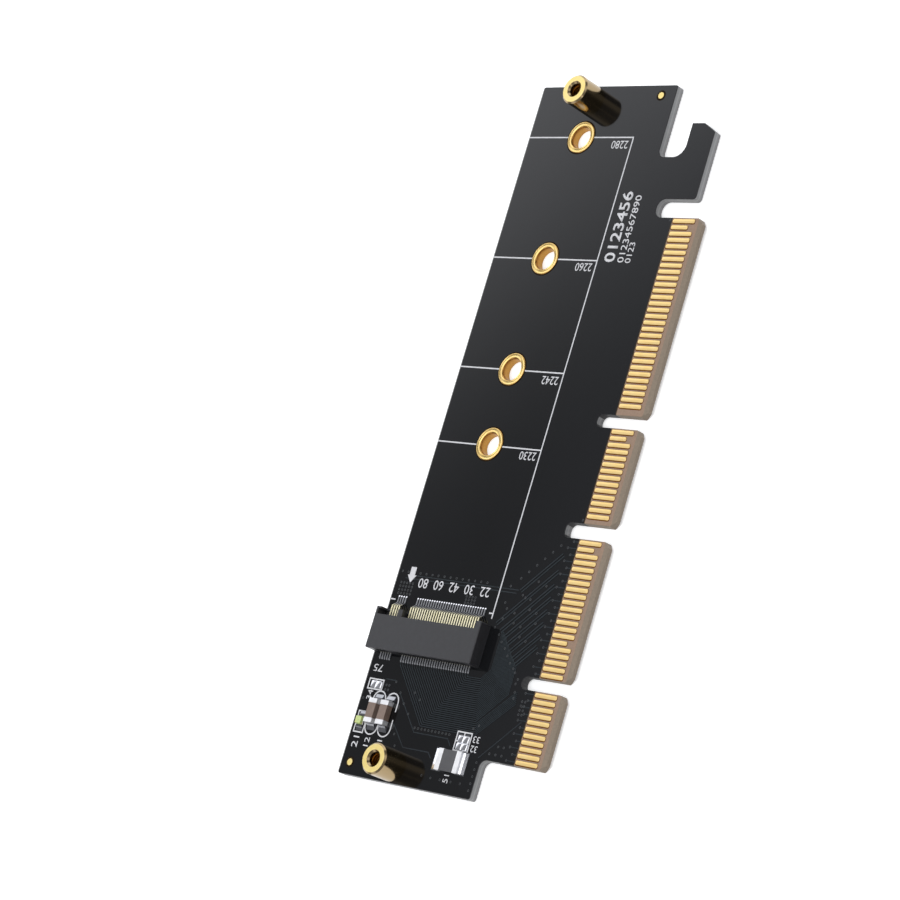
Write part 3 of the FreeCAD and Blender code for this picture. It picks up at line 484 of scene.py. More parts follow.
def copies(pattern, places, name):
    """Copy a finished small mesh to each place, each with its own mesh, and join them."""
    made = []
    for place in places:
        item = pattern.copy()
        item.data = pattern.data.copy()
        item.location = place
        bpy.context.collection.objects.link(item)
        made.append(item)
    bpy.data.objects.remove(pattern)
    return join(made, name)


def box_path(u_low, v_low, u_high, v_high):
    """The corners of an upright rectangle."""
    return [(u_low, v_low), (u_high, v_low), (u_high, v_high), (u_low, v_high)]


def circle(u, v, radius, steps):
    """A circle's outline."""
    angles = [math.tau * step / steps for step in range(steps)]
    return [(u + radius * math.cos(angle), v + radius * math.sin(angle)) for angle in angles]


def racetrack(u_low, u_high, v_middle, radius, steps=10):
    """A rectangle with round ends."""
    points = []
    for middle, start in ((u_high - radius, -90), (u_low + radius, 90)):
        for step in range(steps + 1):
            angle = math.radians(start + 180 * step / steps)
            points.append((middle + radius * math.cos(angle), v_middle + radius * math.sin(angle)))
    return points


# ---- printing
class PrintSettings(bpy.types.PropertyGroup):
    """Screen-printed marks."""
    line: length("Line", "Width of the printed lines", 0.21)
    film: length("Film", "Thickness of the ink", 0.024)
    bold: bpy.props.FloatProperty(
        name="Bold", description="How far the large numbers' strokes are thickened, in heights",
        default=0.015)


CROSS_LINES = (29.75, 41.9, 59.95, 80.0)    # mm, where a module of each length ends
LONG_LINE = 21.65     # mm from the plain edge to the line along the module's far side
LIGHT_FRAME = (-16.4, 0.75, -13.2, 2.65)    # mm, low u and v, then high u and v
OVALS = (4.1, 6.65)   # mm, v of the middle of each oval round a capacitor
OVAL_ENDS = (-16.45, -9.75)    # mm, u of their two ends
OVAL_RADIUS = 1.27
GRID = (-16.34, 21.65, -13.54, 24.5)    # round four spare pads, as the light's frame is given
SINGLE_FRAME = (-9.62, 1.0, -8.1, 3.95)    # round the other two


class CARD_OT_printed_lines(bpy.types.Operator):
    """Print the length lines, component frames, ticks and the arrow"""
    bl_idname = "card.printed_lines"
    bl_label = "Printed lines"

    def execute(self, context):
        settings = context.scene.card_print
        half = settings.line / MM / 2
        ring = RING_RADIUS + 0.1
        stop = LONG_LINE - half
        paths = [([(3.6, LONG_LINE), (CROSS_LINES[-1], LONG_LINE),
                   (CROSS_LINES[-1], LINE_V + ring)], False),
                 ([(4.4, 0.3), (4.4, 1.25)], False), ([(4.4, 20.85), (4.4, stop)], False)]
        for place in CROSS_LINES:
            paths.append(([(place, 0.12), (place, LINE_V - ring)], False))
        for place in CROSS_LINES[:-1]:
            paths.append(([(place, LINE_V + ring), (place, stop)], False))
        paths.append((box_path(*LIGHT_FRAME), True))
        for frame_box in (GRID, SINGLE_FRAME):
            low, top, high, bottom = frame_box
            middle_u, middle_v = (low + high) / 2, (top + bottom) / 2
            paths.append((box_path(*frame_box), True))
            paths.append(([(low + half, middle_v), (high - half, middle_v)], False))
            if frame_box is GRID:
                paths.append(([(middle_u, top + half), (middle_u, middle_v - half)], False))
                paths.append(([(middle_u, middle_v + half), (middle_u, bottom - half)], False))
        paths.append((racetrack(*OVAL_ENDS, OVALS[0], OVAL_RADIUS), True))
        # the second oval is left open beside the capacitor
        oval = racetrack(*OVAL_ENDS, OVALS[1] + 2 * half, OVAL_RADIUS)
        middle_u = sum(OVAL_ENDS) / 2
        turn = len(oval) // 2
        opened = [(middle_u - 0.6, oval[turn][1])] + oval[turn:] + oval[:turn]
        paths.append((opened + [(middle_u + 0.6, oval[turn - 1][1])], False))
        piece = ribbons("printed_lines", paths, settings.line, settings.film)
        settle(piece, "ink")

        tip, wide, neck = (7.25, 3.2), 0.92, 0.55
        arrow = [tip, (8.45, tip[1] - wide), (8.45, tip[1] - neck), (9.7, tip[1] - neck),
                 (9.7, tip[1] + neck), (8.45, tip[1] + neck), (8.45, tip[1] + wide)]
        settle(filled("printed_arrow", [arrow], settings.film), "ink")
        return {"FINISHED"}


LARGE = 2.0           # mm; taller numbers have thickened strokes
# words, middle along u, middle along v, length, height, and whether turned to read across
NUMBERS = [
    ("2230", 28.7, 19.3, 3.3, 1.3, True), ("2242", 40.65, 19.3, 3.3, 1.3, True),
    ("2260", 58.85, 19.3, 3.3, 1.3, True), ("2280", 78.8, 19.3, 3.3, 1.3, True),
    ("22  30  42  60  80", 7.4, 12.4, 14.8, 1.5, True),
    ("0123456", 65.5, 23.95, 11.4, 2.1, False), ("01234567890", 65.2, 26.2, 10.8, 1.2, False),
    ("0123", 61.4, 27.65, 3.3, 1.1, False),
    ("21", -17.9, 1.75, 1.7, 1.2, False), ("12", -17.6, 4.1, 1.4, 1.0, False),
    ("11", -17.6, 6.7, 1.2, 1.0, False), ("34", -10.55, 1.85, 1.5, 1.0, False),
    ("75", -6.35, 2.0, 1.9, 1.1, True), ("32", -15.7, 25.6, 1.3, 1.0, True),
    ("33", -14.3, 25.6, 1.3, 1.0, True), ("51", -20.7, 21.9, 1.2, 1.0, False),
]


class CARD_OT_printed_numbers(bpy.types.Operator):
    """Print the module lengths and the plain numbers beside the components"""
    bl_idname = "card.printed_numbers"
    bl_label = "Printed numbers"

    def execute(self, context):
        settings = context.scene.card_print
        made = []
        for words, u, v, long, tall, across in NUMBERS:
            bpy.ops.object.text_add()
            item = context.object
            item.data.body = words
            item.data.align_x = "CENTER"
            item.data.align_y = "CENTER"
            item.data.resolution_u = 3
            item.data.offset = settings.bold if tall > LARGE else 0
            only(item)
            bpy.ops.object.convert(target="MESH")
            item = context.object
            corners = [Vector(corner) for corner in item.bound_box]
            wide = max(c.x for c in corners) - min(c.x for c in corners)
            high = max(c.y for c in corners) - min(c.y for c in corners)
            middle = sum(corners, Vector()) / len(corners)
            item.data.transform(Matrix.Translation(-middle))
            item.scale = (long * MM / wide, tall * MM / high, 1)
            item.rotation_euler.z = math.pi / 2 if across else 0
            item.location = spot(u, v)
            bpy.ops.object.transform_apply(location=True, rotation=True, scale=True)
            film = item.modifiers.new("film", "SOLIDIFY")
            film.thickness = settings.film
            film.offset = 1
            bpy.ops.object.modifier_apply(modifier="film")
            made.append(item)
        settle(join(made, "printed_numbers"), "ink")
        return {"FINISHED"}


# ---- traces and vias
class CopperSettings(bpy.types.PropertyGroup):
    """Traces and vias under the mask."""
    trace: length("Trace", "Width of a single trace", 0.15)
    # the black strips beside a trace are painted shade
    foot: length("Foot", "Both strips of sunken mask beside a trace", 0.12)
    pair: length("Pair", "Width of each trace of a pair", 0.22)
    rise: length("Rise", "Height of masked copper", 0.014)
    via: length("Via", "Outside diameter of a via's land", 0.38)
    bore: length("Bore", "Opening of a via", 0.2)


# mm: where each pair starts beside the socket, how far across the card they run, and the pair
# that stands alone past the socket
BAND_STARTS = ((3.0, 22.9), (2.0, 24.1), (1.0, 25.0), (0.1, 26.0), (-0.9, 26.9), (-1.9, 27.8),
               (-2.6, 28.7))
BAND_END = 31.9
LONE_BAND = (8.3, 25.7)


def escape_traces():
    """One trace from each rear tail of the socket: out, slanting away, across the card, and
    round towards the contact tabs, each set inside the one before."""
    paths = []
    for index in range(29):
        tail = LINE_V - 9.5 * TAIL_PITCH + TAIL_PITCH * index
        run = -13.8 + 0.3 * index
        top = tail - 0.9 * (run + 5.35)
        start = [(-5.05, tail), (-5.35, tail), (run, top)]
        if index < 7:
            turn = 24.9 - 0.05 * index
            paths.append((start + [(run, turn), (run + 5.6, turn + 6.1)], False))
            continue
        level = 29.1 - 0.22 * (index - 7)
        turn = 24.4 - 0.07 * (index - 7)
        reach = min(-2.9 + 0.25 * (index - 7), 2.0)
        paths.append((start + [(run, turn), (run + level - turn, level), (reach, level)], False))
    return paths


def pair_bands():
    """Pairs that slant from under the socket to the second tab's contacts."""
    paths = []
    for u, v in (*BAND_STARTS, LONE_BAND):
        reach = BAND_END - v
        for side in (-0.17, 0.17):
            paths.append(([(u + side, v - side), (u + reach + side, v + reach - side)], False))
    return paths


def thin_traces():
    """Long single traces, plane outlines and the leads of the first two tabs' contacts."""
    paths = [([(7.9, 2.0), (7.9, 25.0)], False), ([(8.4, 2.4), (8.4, 25.3)], False),
             ([(-13.9, 8.2), (-17.4, 11.7), (-17.4, 17.0), (-18.2, 17.8)], False),
             ([(-15.9, 20.9), (-14.9, 20.0), (-14.9, 13.0), (-9.6, 8.0)], False),
             ([(-16.8, 26.9), (-10.6, 33.1)], False),
             ([(-7.8, 4.3), (-7.8, 6.4)], False)]
    for first, last in TABS[:2]:
        for pin in range(first, last + 1):
            place = pin_u(pin)
            top = 32.5 if pin % 2 else 33.3
            paths.append(([(place, top), (place, MASK_END)], False))
    return paths


def via_places():
    """Where the vias stand, in u and v."""
    places = [(-14.25, 12.9 + 0.72 * step) for step in range(11)]
    places += [(8.85, 1.0 + 1.27 * step) for step in range(15)] + [(8.85, 23.5)]
    places += [(5.45 + 0.56 * i, 1.4 + 0.62 * j) for i in range(4) for j in range(5)]
    places += [(5.4 + 0.5 * i, 15.5 + 0.6 * j) for i in range(3) for j in range(4)]
    places += [(10.2 + 1.12 * step, 25.1 + 1.16 * step) for step in range(6)]
    places += [(u - 0.55, v - 0.1) for u, v in BAND_STARTS]
    for index, (u, v) in enumerate(BAND_STARTS[:-1]):
        for step in range(3):
            run = 1.9 + 2.3 * step + 0.5 * (index % 2)
            if v + run < BAND_END - 0.5:
                places.append((u + run + 0.55, v + run - 0.75))
    for first, last in TABS[:2]:
        for pin in range(first, last + 1):
            if abs(pin_u(pin) + 5.0) > 1.0:
                places.append((pin_u(pin), 32.3 if pin % 2 else 33.1))
    places += [(-9.6 + 0.65 * i, 32.1 + 0.6 * j) for i in range(4) for j in range(2)]
    places += [(-15.9, 28.8), (-15.9, 30.0), (-14.7, 30.1), (-15.9, 31.2), (-14.7, 31.2)]
    places += [(-21.7 + 1.05 * step, 26.85) for step in range(5)]
    places += [(-21.0, 18.9), (-21.0, 20.8), (-21.0, 23.0), (-21.0, 24.9), (-20.9, 17.0)]
    places += [(-9.4, 4.7), (-8.7, 4.7), (-9.4, 5.3), (-8.7, 5.3), (-8.0, 6.5), (-9.5, 8.0)]
    places += [(-11.0, 9.3), (-12.4, 10.8), (-12.8, 24.4), (-12.2, 25.3), (-15.7, 9.2)]
    places += [(-10.0, 12.3), (-9.1, 10.9), (-17.4, 10.0), (-7.4, 30.3), (-6.5, 30.2)]
    places += [(-4.6, 30.1), (-3.7, 29.2), (-5.3, 29.9), (6.3, 23.4), (7.4, 27.0), (3.9, 23.8)]
    places += [(19.95, 33.6), (66.75, 33.6), (-20.6, 8.3), (-21.8, 6.5), (-11.2, 0.7)]
    return places


def via_pattern(settings, rise):
    """A round land with an open bore."""
    bpy.ops.object.select_all(action="DESELECT")
    bpy.ops.mesh.primitive_circle_add(vertices=12, radius=settings.via / 2, fill_type="NGON")
    item = bpy.context.object
    bpy.ops.object.mode_set(mode="EDIT")
    bpy.ops.mesh.select_all(action="SELECT")
    bpy.ops.mesh.inset(thickness=(settings.via - settings.bore) / 2)
    bpy.ops.mesh.delete(type="FACE")
    bpy.ops.mesh.select_all(action="SELECT")
    bpy.ops.mesh.extrude_region_move(TRANSFORM_OT_translate={"value": (0, 0, rise)})
    bpy.ops.object.mode_set(mode="OBJECT")
    return item


class CARD_OT_traces(bpy.types.Operator):
    """Lay the traces and vias of the component side"""
    bl_idname = "card.traces"
    bl_label = "Traces and vias"

    def execute(self, context):
        settings = context.scene.card_copper
        # no two of these layers share a height, so none lies in the face of another
        for name, paths, width, share in (("traces", escape_traces(), settings.trace, 0.4),
                                          ("pairs", pair_bands(), settings.pair, 0.5)):
            # black strips of painted shade beside each trace and pair
            feet = ribbons(f"painted_shade_beside_{name}", paths, width + settings.foot,
                           settings.rise * share)
            settle(feet, "painted_trace_shade")
        singles = ribbons("mask_over_traces", escape_traces() + thin_traces(), settings.trace,
                          settings.rise)
        settle(singles, "over_copper")
        pairs = ribbons("mask_over_pairs", pair_bands(), settings.pair, settings.rise * 1.15)
        settle(pairs, "over_copper")
        rise = settings.rise * 1.3
        lands = copies(via_pattern(settings, rise),
                       [spot(u, v) for u, v in via_places()], "via_lands")
        settle(lands, "via_land")
        return {"FINISHED"}


class CARD_OT_back_copper(bpy.types.Operator):
    """Lay the vias and contact leads of the back"""
    bl_idname = "card.back_copper"
    bl_label = "Back copper"

    def execute(self, context):
        settings = context.scene.card_copper
        rise = settings.rise
        leads = []
        for first, last in TABS[:2]:
            for pin in range(first, last + 1):
                top = 32.5 if pin % 2 else 33.3
                leads.append(([(pin_u(pin), top), (pin_u(pin), MASK_END)], False))
        for index in range(12):
            place = 9.6 + 0.45 * index
            leads.append(([(place, 4.0 + 0.45 * index), (place, 24.0 - 0.2 * index),
                           (place - 7.6, 31.6 - 0.2 * index)], False))
        settle(ribbons("back_traces", leads, settings.trace, rise, underside=True),
               "over_copper")
        places = []
        land_rise = rise * 1.3
        for u, v in via_places():
            place = spot(u, v)
            place.z = BACK - land_rise
            places.append(place)
        settle(copies(via_pattern(settings, land_rise), places, "back_via_lands"),
               "via_land")
        return {"FINISHED"}


# ---- solder
class SolderSettings(bpy.types.PropertyGroup):
    """Solder left by the oven."""
    dome: length("Dome", "How far the solder's edges on a spare pad are rounded", 0.15)
    toe: length("Toe", "Length of the solder beyond a socket tail", 0.2)


SPARE_PADS = 6
SPARE_PAD = 1.0       # mm; corners of one pad lie nearer to each other than this
WETTED = 0.76         # share of a spare pad's length and width that solder covers


class CARD_OT_spare_solder(bpy.types.Operator):
    """Round the solder on the six spare pads"""
    bl_idname = "card.spare_solder"
    bl_label = "Spare pad solder"

    def execute(self, context):
        settings = context.scene.card_solder
        node = NODES["spare_solder_domes"]
        groups = []
        for vertex in node.data.vertices:
            for group in groups:
                if (group[0] - vertex.co).length < SPARE_PAD * MM:
                    group.append(vertex.co)
                    break
            else:
                groups.append([vertex.co.copy()])
        centres, spans = [], []
        for group in groups:
            corners = [[min(p[i] for p in group), max(p[i] for p in group)] for i in range(3)]
            centres.append(Vector([(a + b) / 2 for a, b in corners]))
            wide, deep, tall = [b - a for a, b in corners]
            spans.append((wide * WETTED, deep * WETTED, tall))
        if len(groups) != SPARE_PADS:
            raise RuntimeError(f"found {len(groups)} spare pads of {SPARE_PADS}")
        dome = small_box(spans[0])
        bpy.ops.object.mode_set(mode="EDIT")
        mesh = bmesh.from_edit_mesh(dome.data)
        for edge in mesh.edges:
            edge.select_set(any(vertex.co.z > 0 for vertex in edge.verts))
        bmesh.update_edit_mesh(dome.data)
        bpy.ops.mesh.bevel(offset=settings.dome, segments=4, affect="EDGES")
        bpy.ops.object.mode_set(mode="OBJECT")
        piece = copies(dome, centres, "spare_pad_solder")
        bpy.ops.object.shade_smooth_by_angle(angle=math.radians(50))
        settle(piece, "solder")
        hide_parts("spare_solder_domes")
        return {"FINISHED"}


# node, side its tails leave from, and for each group how many pitches off the module's middle
# line its first tail stands and how many tails follow from there
TAIL_ROWS = (("socket_lower_contacts", 1, ((18, 4), (10, 29))),
             ("socket_upper_contacts", -1, ((18.5, 5), (9.5, 29))))
TOE_WIDE = 0.26       # mm across a tail's solder
TOE_TALL = 0.1        # mm from the pad to the top of it
TOE_DROP = 0.075      # mm that its outer end slopes down


class CARD_OT_tail_solder(bpy.types.Operator):
    """Solder the toe of every socket tail"""
    bl_idname = "card.tail_solder"
    bl_label = "Tail solder"

    def execute(self, context):
        settings = context.scene.card_solder
        made = []
        for node, side, groups in TAIL_ROWS:
            low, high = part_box(node)
            end = high.x if side > 0 else low.x
            toe = small_box((settings.toe, TOE_WIDE * MM, TOE_TALL * MM))
            bpy.ops.object.mode_set(mode="EDIT")
            mesh = bmesh.from_edit_mesh(toe.data)
            for vertex in mesh.verts:
                vertex.select_set(vertex.co.z > 0 and vertex.co.x * side > 0)
            mesh.select_flush_mode()
            bmesh.update_edit_mesh(toe.data)
            bpy.ops.transform.translate(value=(0, 0, -TOE_DROP * MM))
            bpy.ops.object.mode_set(mode="OBJECT")
            places = []
            for first, count in groups:
                for index in range(count):
                    away = (first - index) * TAIL_PITCH * MM
                    places.append(Vector((end + side * settings.toe / 2, LINE_Y + away,
                                          FACE + (PAD_RISE + TOE_TALL / 2) * MM)))
            made.append(copies(toe, places, f"{node}_toes"))
        settle(join(made, "tail_solder"), "solder")
        return {"FINISHED"}


# ---- board, plated contacts and rings
class PlatingSettings(bpy.types.PropertyGroup):
    """Board edge, edge contacts and ringed holes."""
    edge: length("Edge", "Width of the board's broken edges", 0.06)
    corner: length("Corner", "Radius of a contact's corners", 0.22)
    narrow: length("Narrow", "How much each side of a contact is etched back", 0.045)
    round: length("Round", "Rounding of a contact's top edge", 0.035)
    # the brown strip round each contact is painted shadow
    foot: length("Foot", "Width of the brown foot beside a contact", 0.17)


FOOT_FILM = 0.012     # mm that the painted shadow round a contact stands off the board
OPENING_FILM = 0.008  # mm that the dark rings round the plated holes and the placing marks stand off the board
RING_BORE = 1.75      # mm, radius of the plated module holes


class CARD_OT_board(bpy.types.Operator):
    """Break the board's edges, as routing and the mask leave them"""
    bl_idname = "card.board"
    bl_label = "Board"

    def execute(self, context):
        bpy.ops.object.select_all(action="DESELECT")
        board = NODES["circuit_board"].copy()
        board.data = board.data.copy()
        board.name = "board_with_broken_edges"
        bpy.context.collection.objects.link(board)
        only(board)
        bpy.ops.object.mode_set(mode="EDIT")
        bpy.ops.mesh.select_all(action="SELECT")
        bpy.ops.mesh.remove_doubles(threshold=0.0005 * MM)
        bpy.ops.mesh.dissolve_limited(angle_limit=math.radians(0.5))
        bpy.ops.object.mode_set(mode="OBJECT")
        break_edges(board, context.scene.card_plating.edge, 1, 50)
        settle(board, "laminate")
        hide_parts("circuit_board")
        return {"FINISHED"}


def contact_boxes(node):
    """Each edge contact of a CAD node as its low and high u and v."""
    shape = NODES[node]
    places = [shape.matrix_world @ vertex.co for vertex in shape.data.vertices]
    boxes = []
    for first, last in TABS:
        for pin in range(first, last + 1):
            middle = pin_u(pin)
            inside = [place for place in places
                      if abs((place.x - MODULE_X) / MM - middle) < PIN_PITCH / 2]
            if not inside:
                raise RuntimeError(f"{node} has no contact {pin}")
            us = [(place.x - MODULE_X) / MM for place in inside]
            vs = [(HIGH.y - place.y) / MM for place in inside]
            boxes.append((min(us), min(vs), max(us), max(vs)))
    return boxes


def rounded_box(low_u, low_v, high_u, high_v, radius, steps=4):
    """A rectangle with rounded corners."""
    points = []
    for middle_u, middle_v, start in (
            (high_u - radius, high_v - radius, 0), (low_u + radius, high_v - radius, 90),
            (low_u + radius, low_v + radius, 180), (high_u - radius, low_v + radius, 270)):
        for step in range(steps + 1):
            angle = math.radians(start + 90 * step / steps)
            points.append((middle_u + radius * math.cos(angle),
                           middle_v + radius * math.sin(angle)))
    return points


class CARD_OT_edge_contacts(bpy.types.Operator):
    """Round the edge contacts of both faces and lay a painted brown shadow round them"""
    bl_idname = "card.edge_contacts"
    bl_label = "Edge contacts"

    def execute(self, context):
        settings = context.scene.card_plating
        corner, narrow, foot = (getattr(settings, key) / MM for key in ("corner", "narrow", "foot"))
        for node, underside in (("front_edge_contacts", False), ("back_edge_contacts", True)):
            low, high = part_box(node)
            boxes = contact_boxes(node)
            pads = [rounded_box(a + narrow, b, c - narrow, d, corner) for a, b, c, d in boxes]
            piece = filled(f"{node}_rounded", pads, high.z - low.z, underside)
            break_edges(piece, settings.round, 2, 60)
            bpy.ops.object.shade_smooth_by_angle(angle=math.radians(35))
            settle(piece, "gold")
            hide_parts(node)
            # a brown strip round each contact, widest on its low-u side: painted shadow
            feet = [rounded_box(a + narrow - foot, b - foot / 2, c - narrow + foot / 4,
                                d + foot / 2, corner + foot / 3) for a, b, c, d in boxes]
            settle(filled(f"{node}_feet", feet, FOOT_FILM * MM, underside), "painted_contact_shadow")
        return {"FINISHED"}


class CARD_OT_hole_rings(bpy.types.Operator):
    """Turn the four plated rings, with a bead at each edge of the land"""
    bl_idname = "card.hole_rings"
    bl_label = "Hole rings"

    def execute(self, context):
        outlines = []
        for node in ("hole_ring_30", "hole_ring_42", "hole_ring_60", "hole_ring_80"):
            low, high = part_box(node)
            middle = (low + high) / 2
            outer = RING_RADIUS
            bottom, top = low.z / MM, high.z / MM
            bore = RING_BORE
            profile = [
                (bore, bottom), (outer - 0.1, bottom), (outer, bottom + 0.05), (outer, top - 0.09),
                (outer - 0.05, top - 0.03), (outer - 0.13, top), (outer - 0.22, top - 0.03),
                (outer - 0.28, top - 0.05), (bore + 0.34, top - 0.05), (bore + 0.28, top - 0.03),
                (bore + 0.2, top), (bore + 0.12, top - 0.03), (bore + 0.05, top - 0.1),
                (bore, top - 0.2)]
            settle(turned(node + "_turned", profile, middle, 56), "ring_gold")
            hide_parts(node)
            u, v = (middle.x - MODULE_X) / MM, (HIGH.y - middle.y) / MM
            outlines += [circle(u, v, radius, 48) for radius in (outer + 0.2, outer - 0.02)]
        # a nearly black ring round each land: painted shade at the mask's edge
        settle(filled("painted_shade_round_rings", outlines, OPENING_FILM * MM), "opening")
        return {"FINISHED"}


# ---- threads and dots
class ThreadSettings(bpy.types.PropertyGroup):
    """Thread inside the standoffs."""
    pitch: length("Pitch", "Pitch of the M2.5 thread", 0.45)
    depth: length("Depth", "How far the thread stands into the bore", 0.1)
    core: length("Bore", "Radius of the bore", 1.025)


THREAD_START = 0.3    # mm from the standoff's foot to the first turn
THREAD_SHORT = 1.0    # mm by which the thread is shorter than the bore


class CARD_OT_threads(bpy.types.Operator):
    """Cut the thread of both standoffs"""
    bl_idname = "card.threads"
    bl_label = "Standoff threads"

    def execute(self, context):
        settings = context.scene.card_thread
        for node in ("front_standoff", "rear_standoff"):
            low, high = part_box(node)
            middle = (low + high) / 2
            turns = int((high.z - low.z - THREAD_SHORT * MM) / settings.pitch)
            bpy.ops.object.select_all(action="DESELECT")
            bpy.ops.mesh.primitive_circle_add(
                vertices=3, radius=settings.depth, fill_type="NGON",
                location=(settings.core - settings.depth * 0.45, 0, 0),
                rotation=(math.radians(90), math.radians(90), 0))
            item = context.object
            bpy.ops.object.transform_apply(location=True, rotation=True, scale=True)
            screwed(item, 28, settings.pitch, turns)
            item.location = (middle.x, middle.y, low.z + THREAD_START * MM)
            piece = join([item], f"{node}_thread")
            bpy.ops.object.shade_smooth_by_angle(angle=math.radians(40))
            settle(piece, "bore_brass")
        return {"FINISHED"}


PLACING_MARKS = ((-21.05, 1.95), (86.85, 24.7))    # mm, u and v of the two gold dots
MARK_OPENING = (0.85, 0.54)    # mm, outer and inner radius of the bare ring round a dot


class CARD_OT_dot_surrounds(bpy.types.Operator):
    """Open the mask round the two placing marks"""
    bl_idname = "card.dot_surrounds"
    bl_label = "Mark surrounds"

    def execute(self, context):
        outlines = [circle(u, v, radius, 24) for u, v in PLACING_MARKS for radius in MARK_OPENING]
        settle(filled("mark_surrounds", outlines, OPENING_FILM * MM), "opening")
        return {"FINISHED"}


# ---- finishes of the CAD pieces
NODES_WITH = {
    "laminate": ("circuit_board",),
    "gold": ("front_edge_contacts", "back_edge_contacts"),
    "ring_gold": ("hole_ring_30", "hole_ring_42", "hole_ring_60", "hole_ring_80"),
    "brass": ("front_standoff", "rear_standoff", "fiducial_dots"),
    "housing_black": ("socket_housing",),
    "spring_metal": ("socket_lower_contacts", "socket_upper_contacts"),
    "dull_tin": ("socket_pads", "component_pads", "led_terminals"),
    "solder": ("spare_solder_domes", "fuse_solder"),
    "solder_painted_darker": ("capacitor_1_solder", "capacitor_2_solder", "led_solder"),
    "tin": ("capacitor_1_terminals", "capacitor_2_terminals", "fuse_terminals"),
    "ceramic_brown": ("capacitor_1_body", "capacitor_2_body"),
    "fuse_grey": ("fuse_body",),
    "lens_green": ("led_lens",),
    "led_white": ("led_base",),
}
FINISHES = {}


class CARD_OT_finishes(bpy.types.Operator):
    """Make the finishes and give each CAD piece its own"""
    bl_idname = "card.finishes"
    bl_label = "Finishes"

    def execute(self, context):
        FINISHES.update(make_finishes(context.scene.card_finish))
        for finish_name, nodes in NODES_WITH.items():
            for node in nodes:
                NODES[node].data.materials.clear()
                NODES[node].data.materials.append(FINISHES[finish_name])
        return {"FINISHED"}


# ---- stage
class StageSettings(bpy.types.PropertyGroup):
    """Camera, floor and light."""
    lens: bpy.props.FloatProperty(
        name="Lens", description="Focal length on a 36 mm sensor", default=122.58, unit="CAMERA")
    camera_place: bpy.props.FloatVectorProperty(
        name="Camera place", description="Along, across and above the component side",
        size=3, default=(-0.0614, 0.3288, 0.3196), subtype="XYZ_LENGTH")
    camera_turn: bpy.props.FloatVectorProperty(
        name="Camera turn", description="Rotation about X, Y and Z", size=3, subtype="EULER",
        default=[math.radians(angle) for angle in (26.012, 40.113, -68.289)])
    floor_tone: bpy.props.FloatVectorProperty(
        name="Floor", description="Colour of the floor", size=3, subtype="COLOR",
        default=linear("f0f0f0")[:3])
    lamp_power: bpy.props.FloatProperty(
        name="Lamp", description="Power of the overhead lamp", default=5.0, unit="POWER")


# brightness of the surroundings by how far a direction leans towards the far end and the
# plain edge: dark front, overhead softbox, dark gap, then a wall of light behind the card
SKY_LEAN = (1.3, 1.2, -1.2)
SKY_REACH = 2.2
SKY = ((-2.1, 0.3), (-1.7, 0.4), (-1.3, 1.2), (-0.75, 1.2), (-0.5, 0.26), (0.2, 0.26),
       (0.25, 0.33), (0.3, 0.56), (0.34, 0.85), (0.385, 1.2), (0.5, 1.9), (1.2, 1.6), (2.1, 1.0))
SKY_TINT = (0.97, 0.985, 1.03)
FLOOR_DROP = 0.02     # mm from the back contacts to the floor
FLOOR_LIFT = 0.4      # light added to the floor where it is seen, so that it reads as white
LAMP_PLACE = (-0.25, -0.1, 1.0)
LAMP_SIZE = 0.9


def seen_by(tree, *kinds):
    """One for light rays of these kinds and nought for the rest."""
    share = 0.0
    for kind in kinds:
        ray = add_node(tree, "LightPath", out=f"Is {kind} Ray")
        share = add_node(tree, "Math", share, ray, operation="MAXIMUM")
    return share


def make_floor(settings):
    """A wide pale floor just under the card, lifted to white where it is seen."""
    bpy.ops.object.select_all(action="DESELECT")
    bpy.ops.mesh.primitive_plane_add(size=6, location=(0, 0, LOW.z - FLOOR_DROP * MM))
    floor = bpy.context.object
    floor.name = "floor"
    material = bpy.data.materials.new("pale_floor")
    material.use_nodes = True
    tree = material.node_tree
    tree.nodes.clear()
    seen = seen_by(tree, "Camera", "Transmission", "Glossy")
    lift = add_node(tree, "Math", seen, FLOOR_LIFT, operation="MULTIPLY")
    paint = add_node(tree, "BsdfDiffuse", (*settings.floor_tone, 1))
    glow = add_node(tree, "Emission", (1, 1, 1, 1), lift)
    add_node(tree, "OutputMaterial", add_node(tree, "AddShader", paint, glow))
    floor.data.materials.append(material)


def make_surroundings(scene):
    """The studio round the card, white where the camera sees it."""
    world = bpy.data.worlds.new("studio")
    scene.world = world
    world.use_nodes = True
    tree = world.node_tree
    tree.nodes.clear()
    seen = seen_by(tree, "Camera", "Transmission")
    way = add_node(tree, "TexCoord", out="Generated")
    lean = add_node(tree, "VectorMath", way, SKY_LEAN, operation="DOT_PRODUCT", out="Value")
    share = add_node(tree, "MapRange", lean, -SKY_REACH, SKY_REACH, 0.0, 1.0)
    tone = add_node(tree, "ValToRGB", share)
    stops = tone.node.color_ramp.elements
    stops.remove(stops[1])
    for order, (where, level) in enumerate(SKY):
        place = (where + SKY_REACH) / (2 * SKY_REACH)
        stop = stops.new(place) if order else stops[0]
        stop.position = place
        stop.color = (*(level * part for part in SKY_TINT), 1)
    tone = add_node(tree, "MixRGB", seen, tone, "ffffff")
    add_node(tree, "OutputWorld", add_node(tree, "Background", tone, 1.0))


def make_lamp(settings):
    """A soft lamp overhead."""
    bpy.ops.object.light_add(type="AREA", location=LAMP_PLACE)
    lamp = bpy.context.object
    lamp.name = "overhead"
    lamp.data.energy = settings.lamp_power
    lamp.data.size = LAMP_SIZE
    lamp.rotation_euler = (-lamp.location).to_track_quat("-Z", "Y").to_euler()


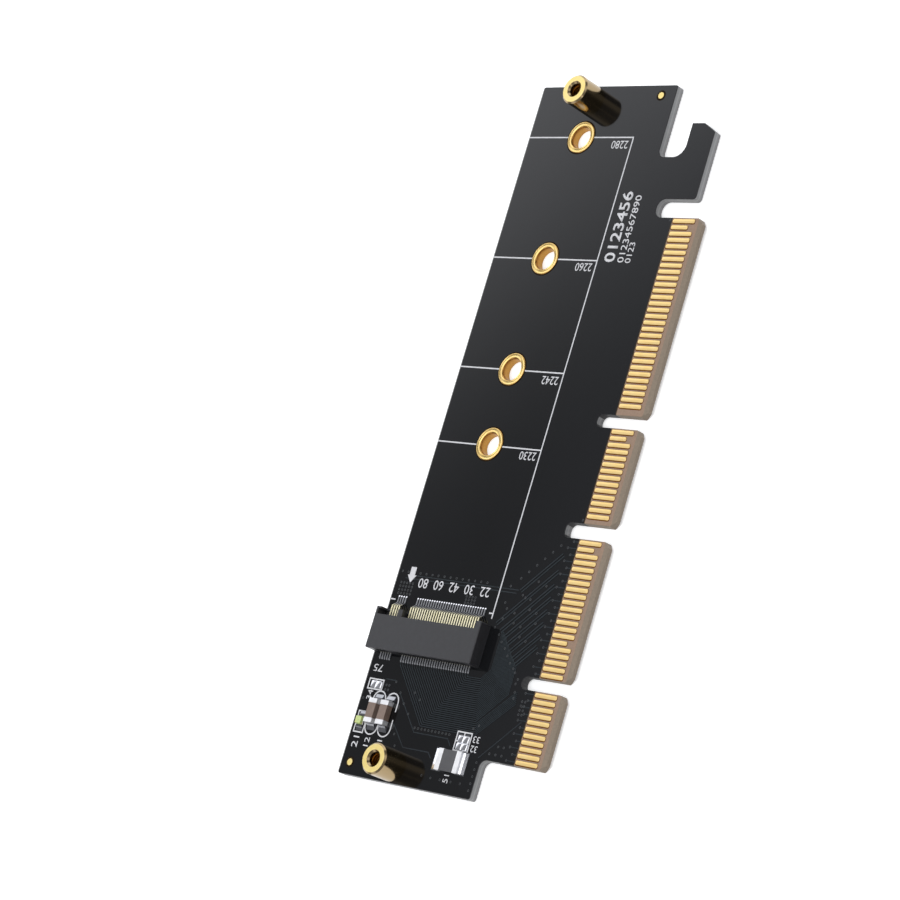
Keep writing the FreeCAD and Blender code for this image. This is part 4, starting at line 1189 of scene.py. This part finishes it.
def make_camera(scene, settings):
    """The camera, set by its place from the board."""
    along, across, above = settings.camera_place
    bpy.ops.object.camera_add(
        location=spot(along / MM, across / MM, above / MM),
        rotation=Euler(settings.camera_turn))
    camera = bpy.context.object
    camera.data.lens = settings.lens
    camera.data.sensor_width = 36
    camera.data.clip_start = 0.01
    camera.data.clip_end = 10
    scene.camera = camera


class CARD_OT_stage(bpy.types.Operator):
    """Make the floor, the lamp, the surroundings and the camera"""
    bl_idname = "card.stage"
    bl_label = "Stage"

    def execute(self, context):
        settings = context.scene.card_stage
        make_floor(settings)
        make_surroundings(context.scene)
        make_lamp(settings)
        make_camera(context.scene, settings)
        context.scene.view_settings.view_transform = "Standard"
        return {"FINISHED"}


# ---- panel
STEPS = (CARD_OT_stage, CARD_OT_finishes, CARD_OT_printed_lines, CARD_OT_printed_numbers,
         CARD_OT_traces, CARD_OT_back_copper, CARD_OT_board, CARD_OT_edge_contacts,
         CARD_OT_hole_rings, CARD_OT_spare_solder, CARD_OT_tail_solder, CARD_OT_threads,
         CARD_OT_dot_surrounds)
GROUPS = {"card_finish": FinishSettings, "card_print": PrintSettings,
          "card_copper": CopperSettings, "card_plating": PlatingSettings,
          "card_solder": SolderSettings, "card_thread": ThreadSettings, "card_stage": StageSettings}


class CARD_PT_panel(bpy.types.Panel):
    """Every step of the card's looks, with its sizes"""
    bl_idname = "CARD_PT_panel"
    bl_label = "Card"
    bl_space_type = "VIEW_3D"
    bl_region_type = "UI"
    bl_category = "Card"

    def draw(self, context):
        for name, group in GROUPS.items():
            column = self.layout.column(align=True)
            for key in group.__annotations__:
                column.prop(getattr(context.scene, name), key)
        for step in STEPS:
            self.layout.operator(step.bl_idname)


CLASSES = (*GROUPS.values(), *STEPS, CARD_PT_panel)


def register():
    for item in CLASSES:
        bpy.utils.register_class(item)
    for name, group in GROUPS.items():
        setattr(bpy.types.Scene, name, bpy.props.PointerProperty(type=group))


def unregister():
    for name in GROUPS:
        delattr(bpy.types.Scene, name)
    for item in reversed(CLASSES):
        bpy.utils.unregister_class(item)


def main():
    register()
    for step in STEPS:
        getattr(bpy.ops.card, step.bl_idname.removeprefix("card."))()


if __name__ == "__main__":
    main()
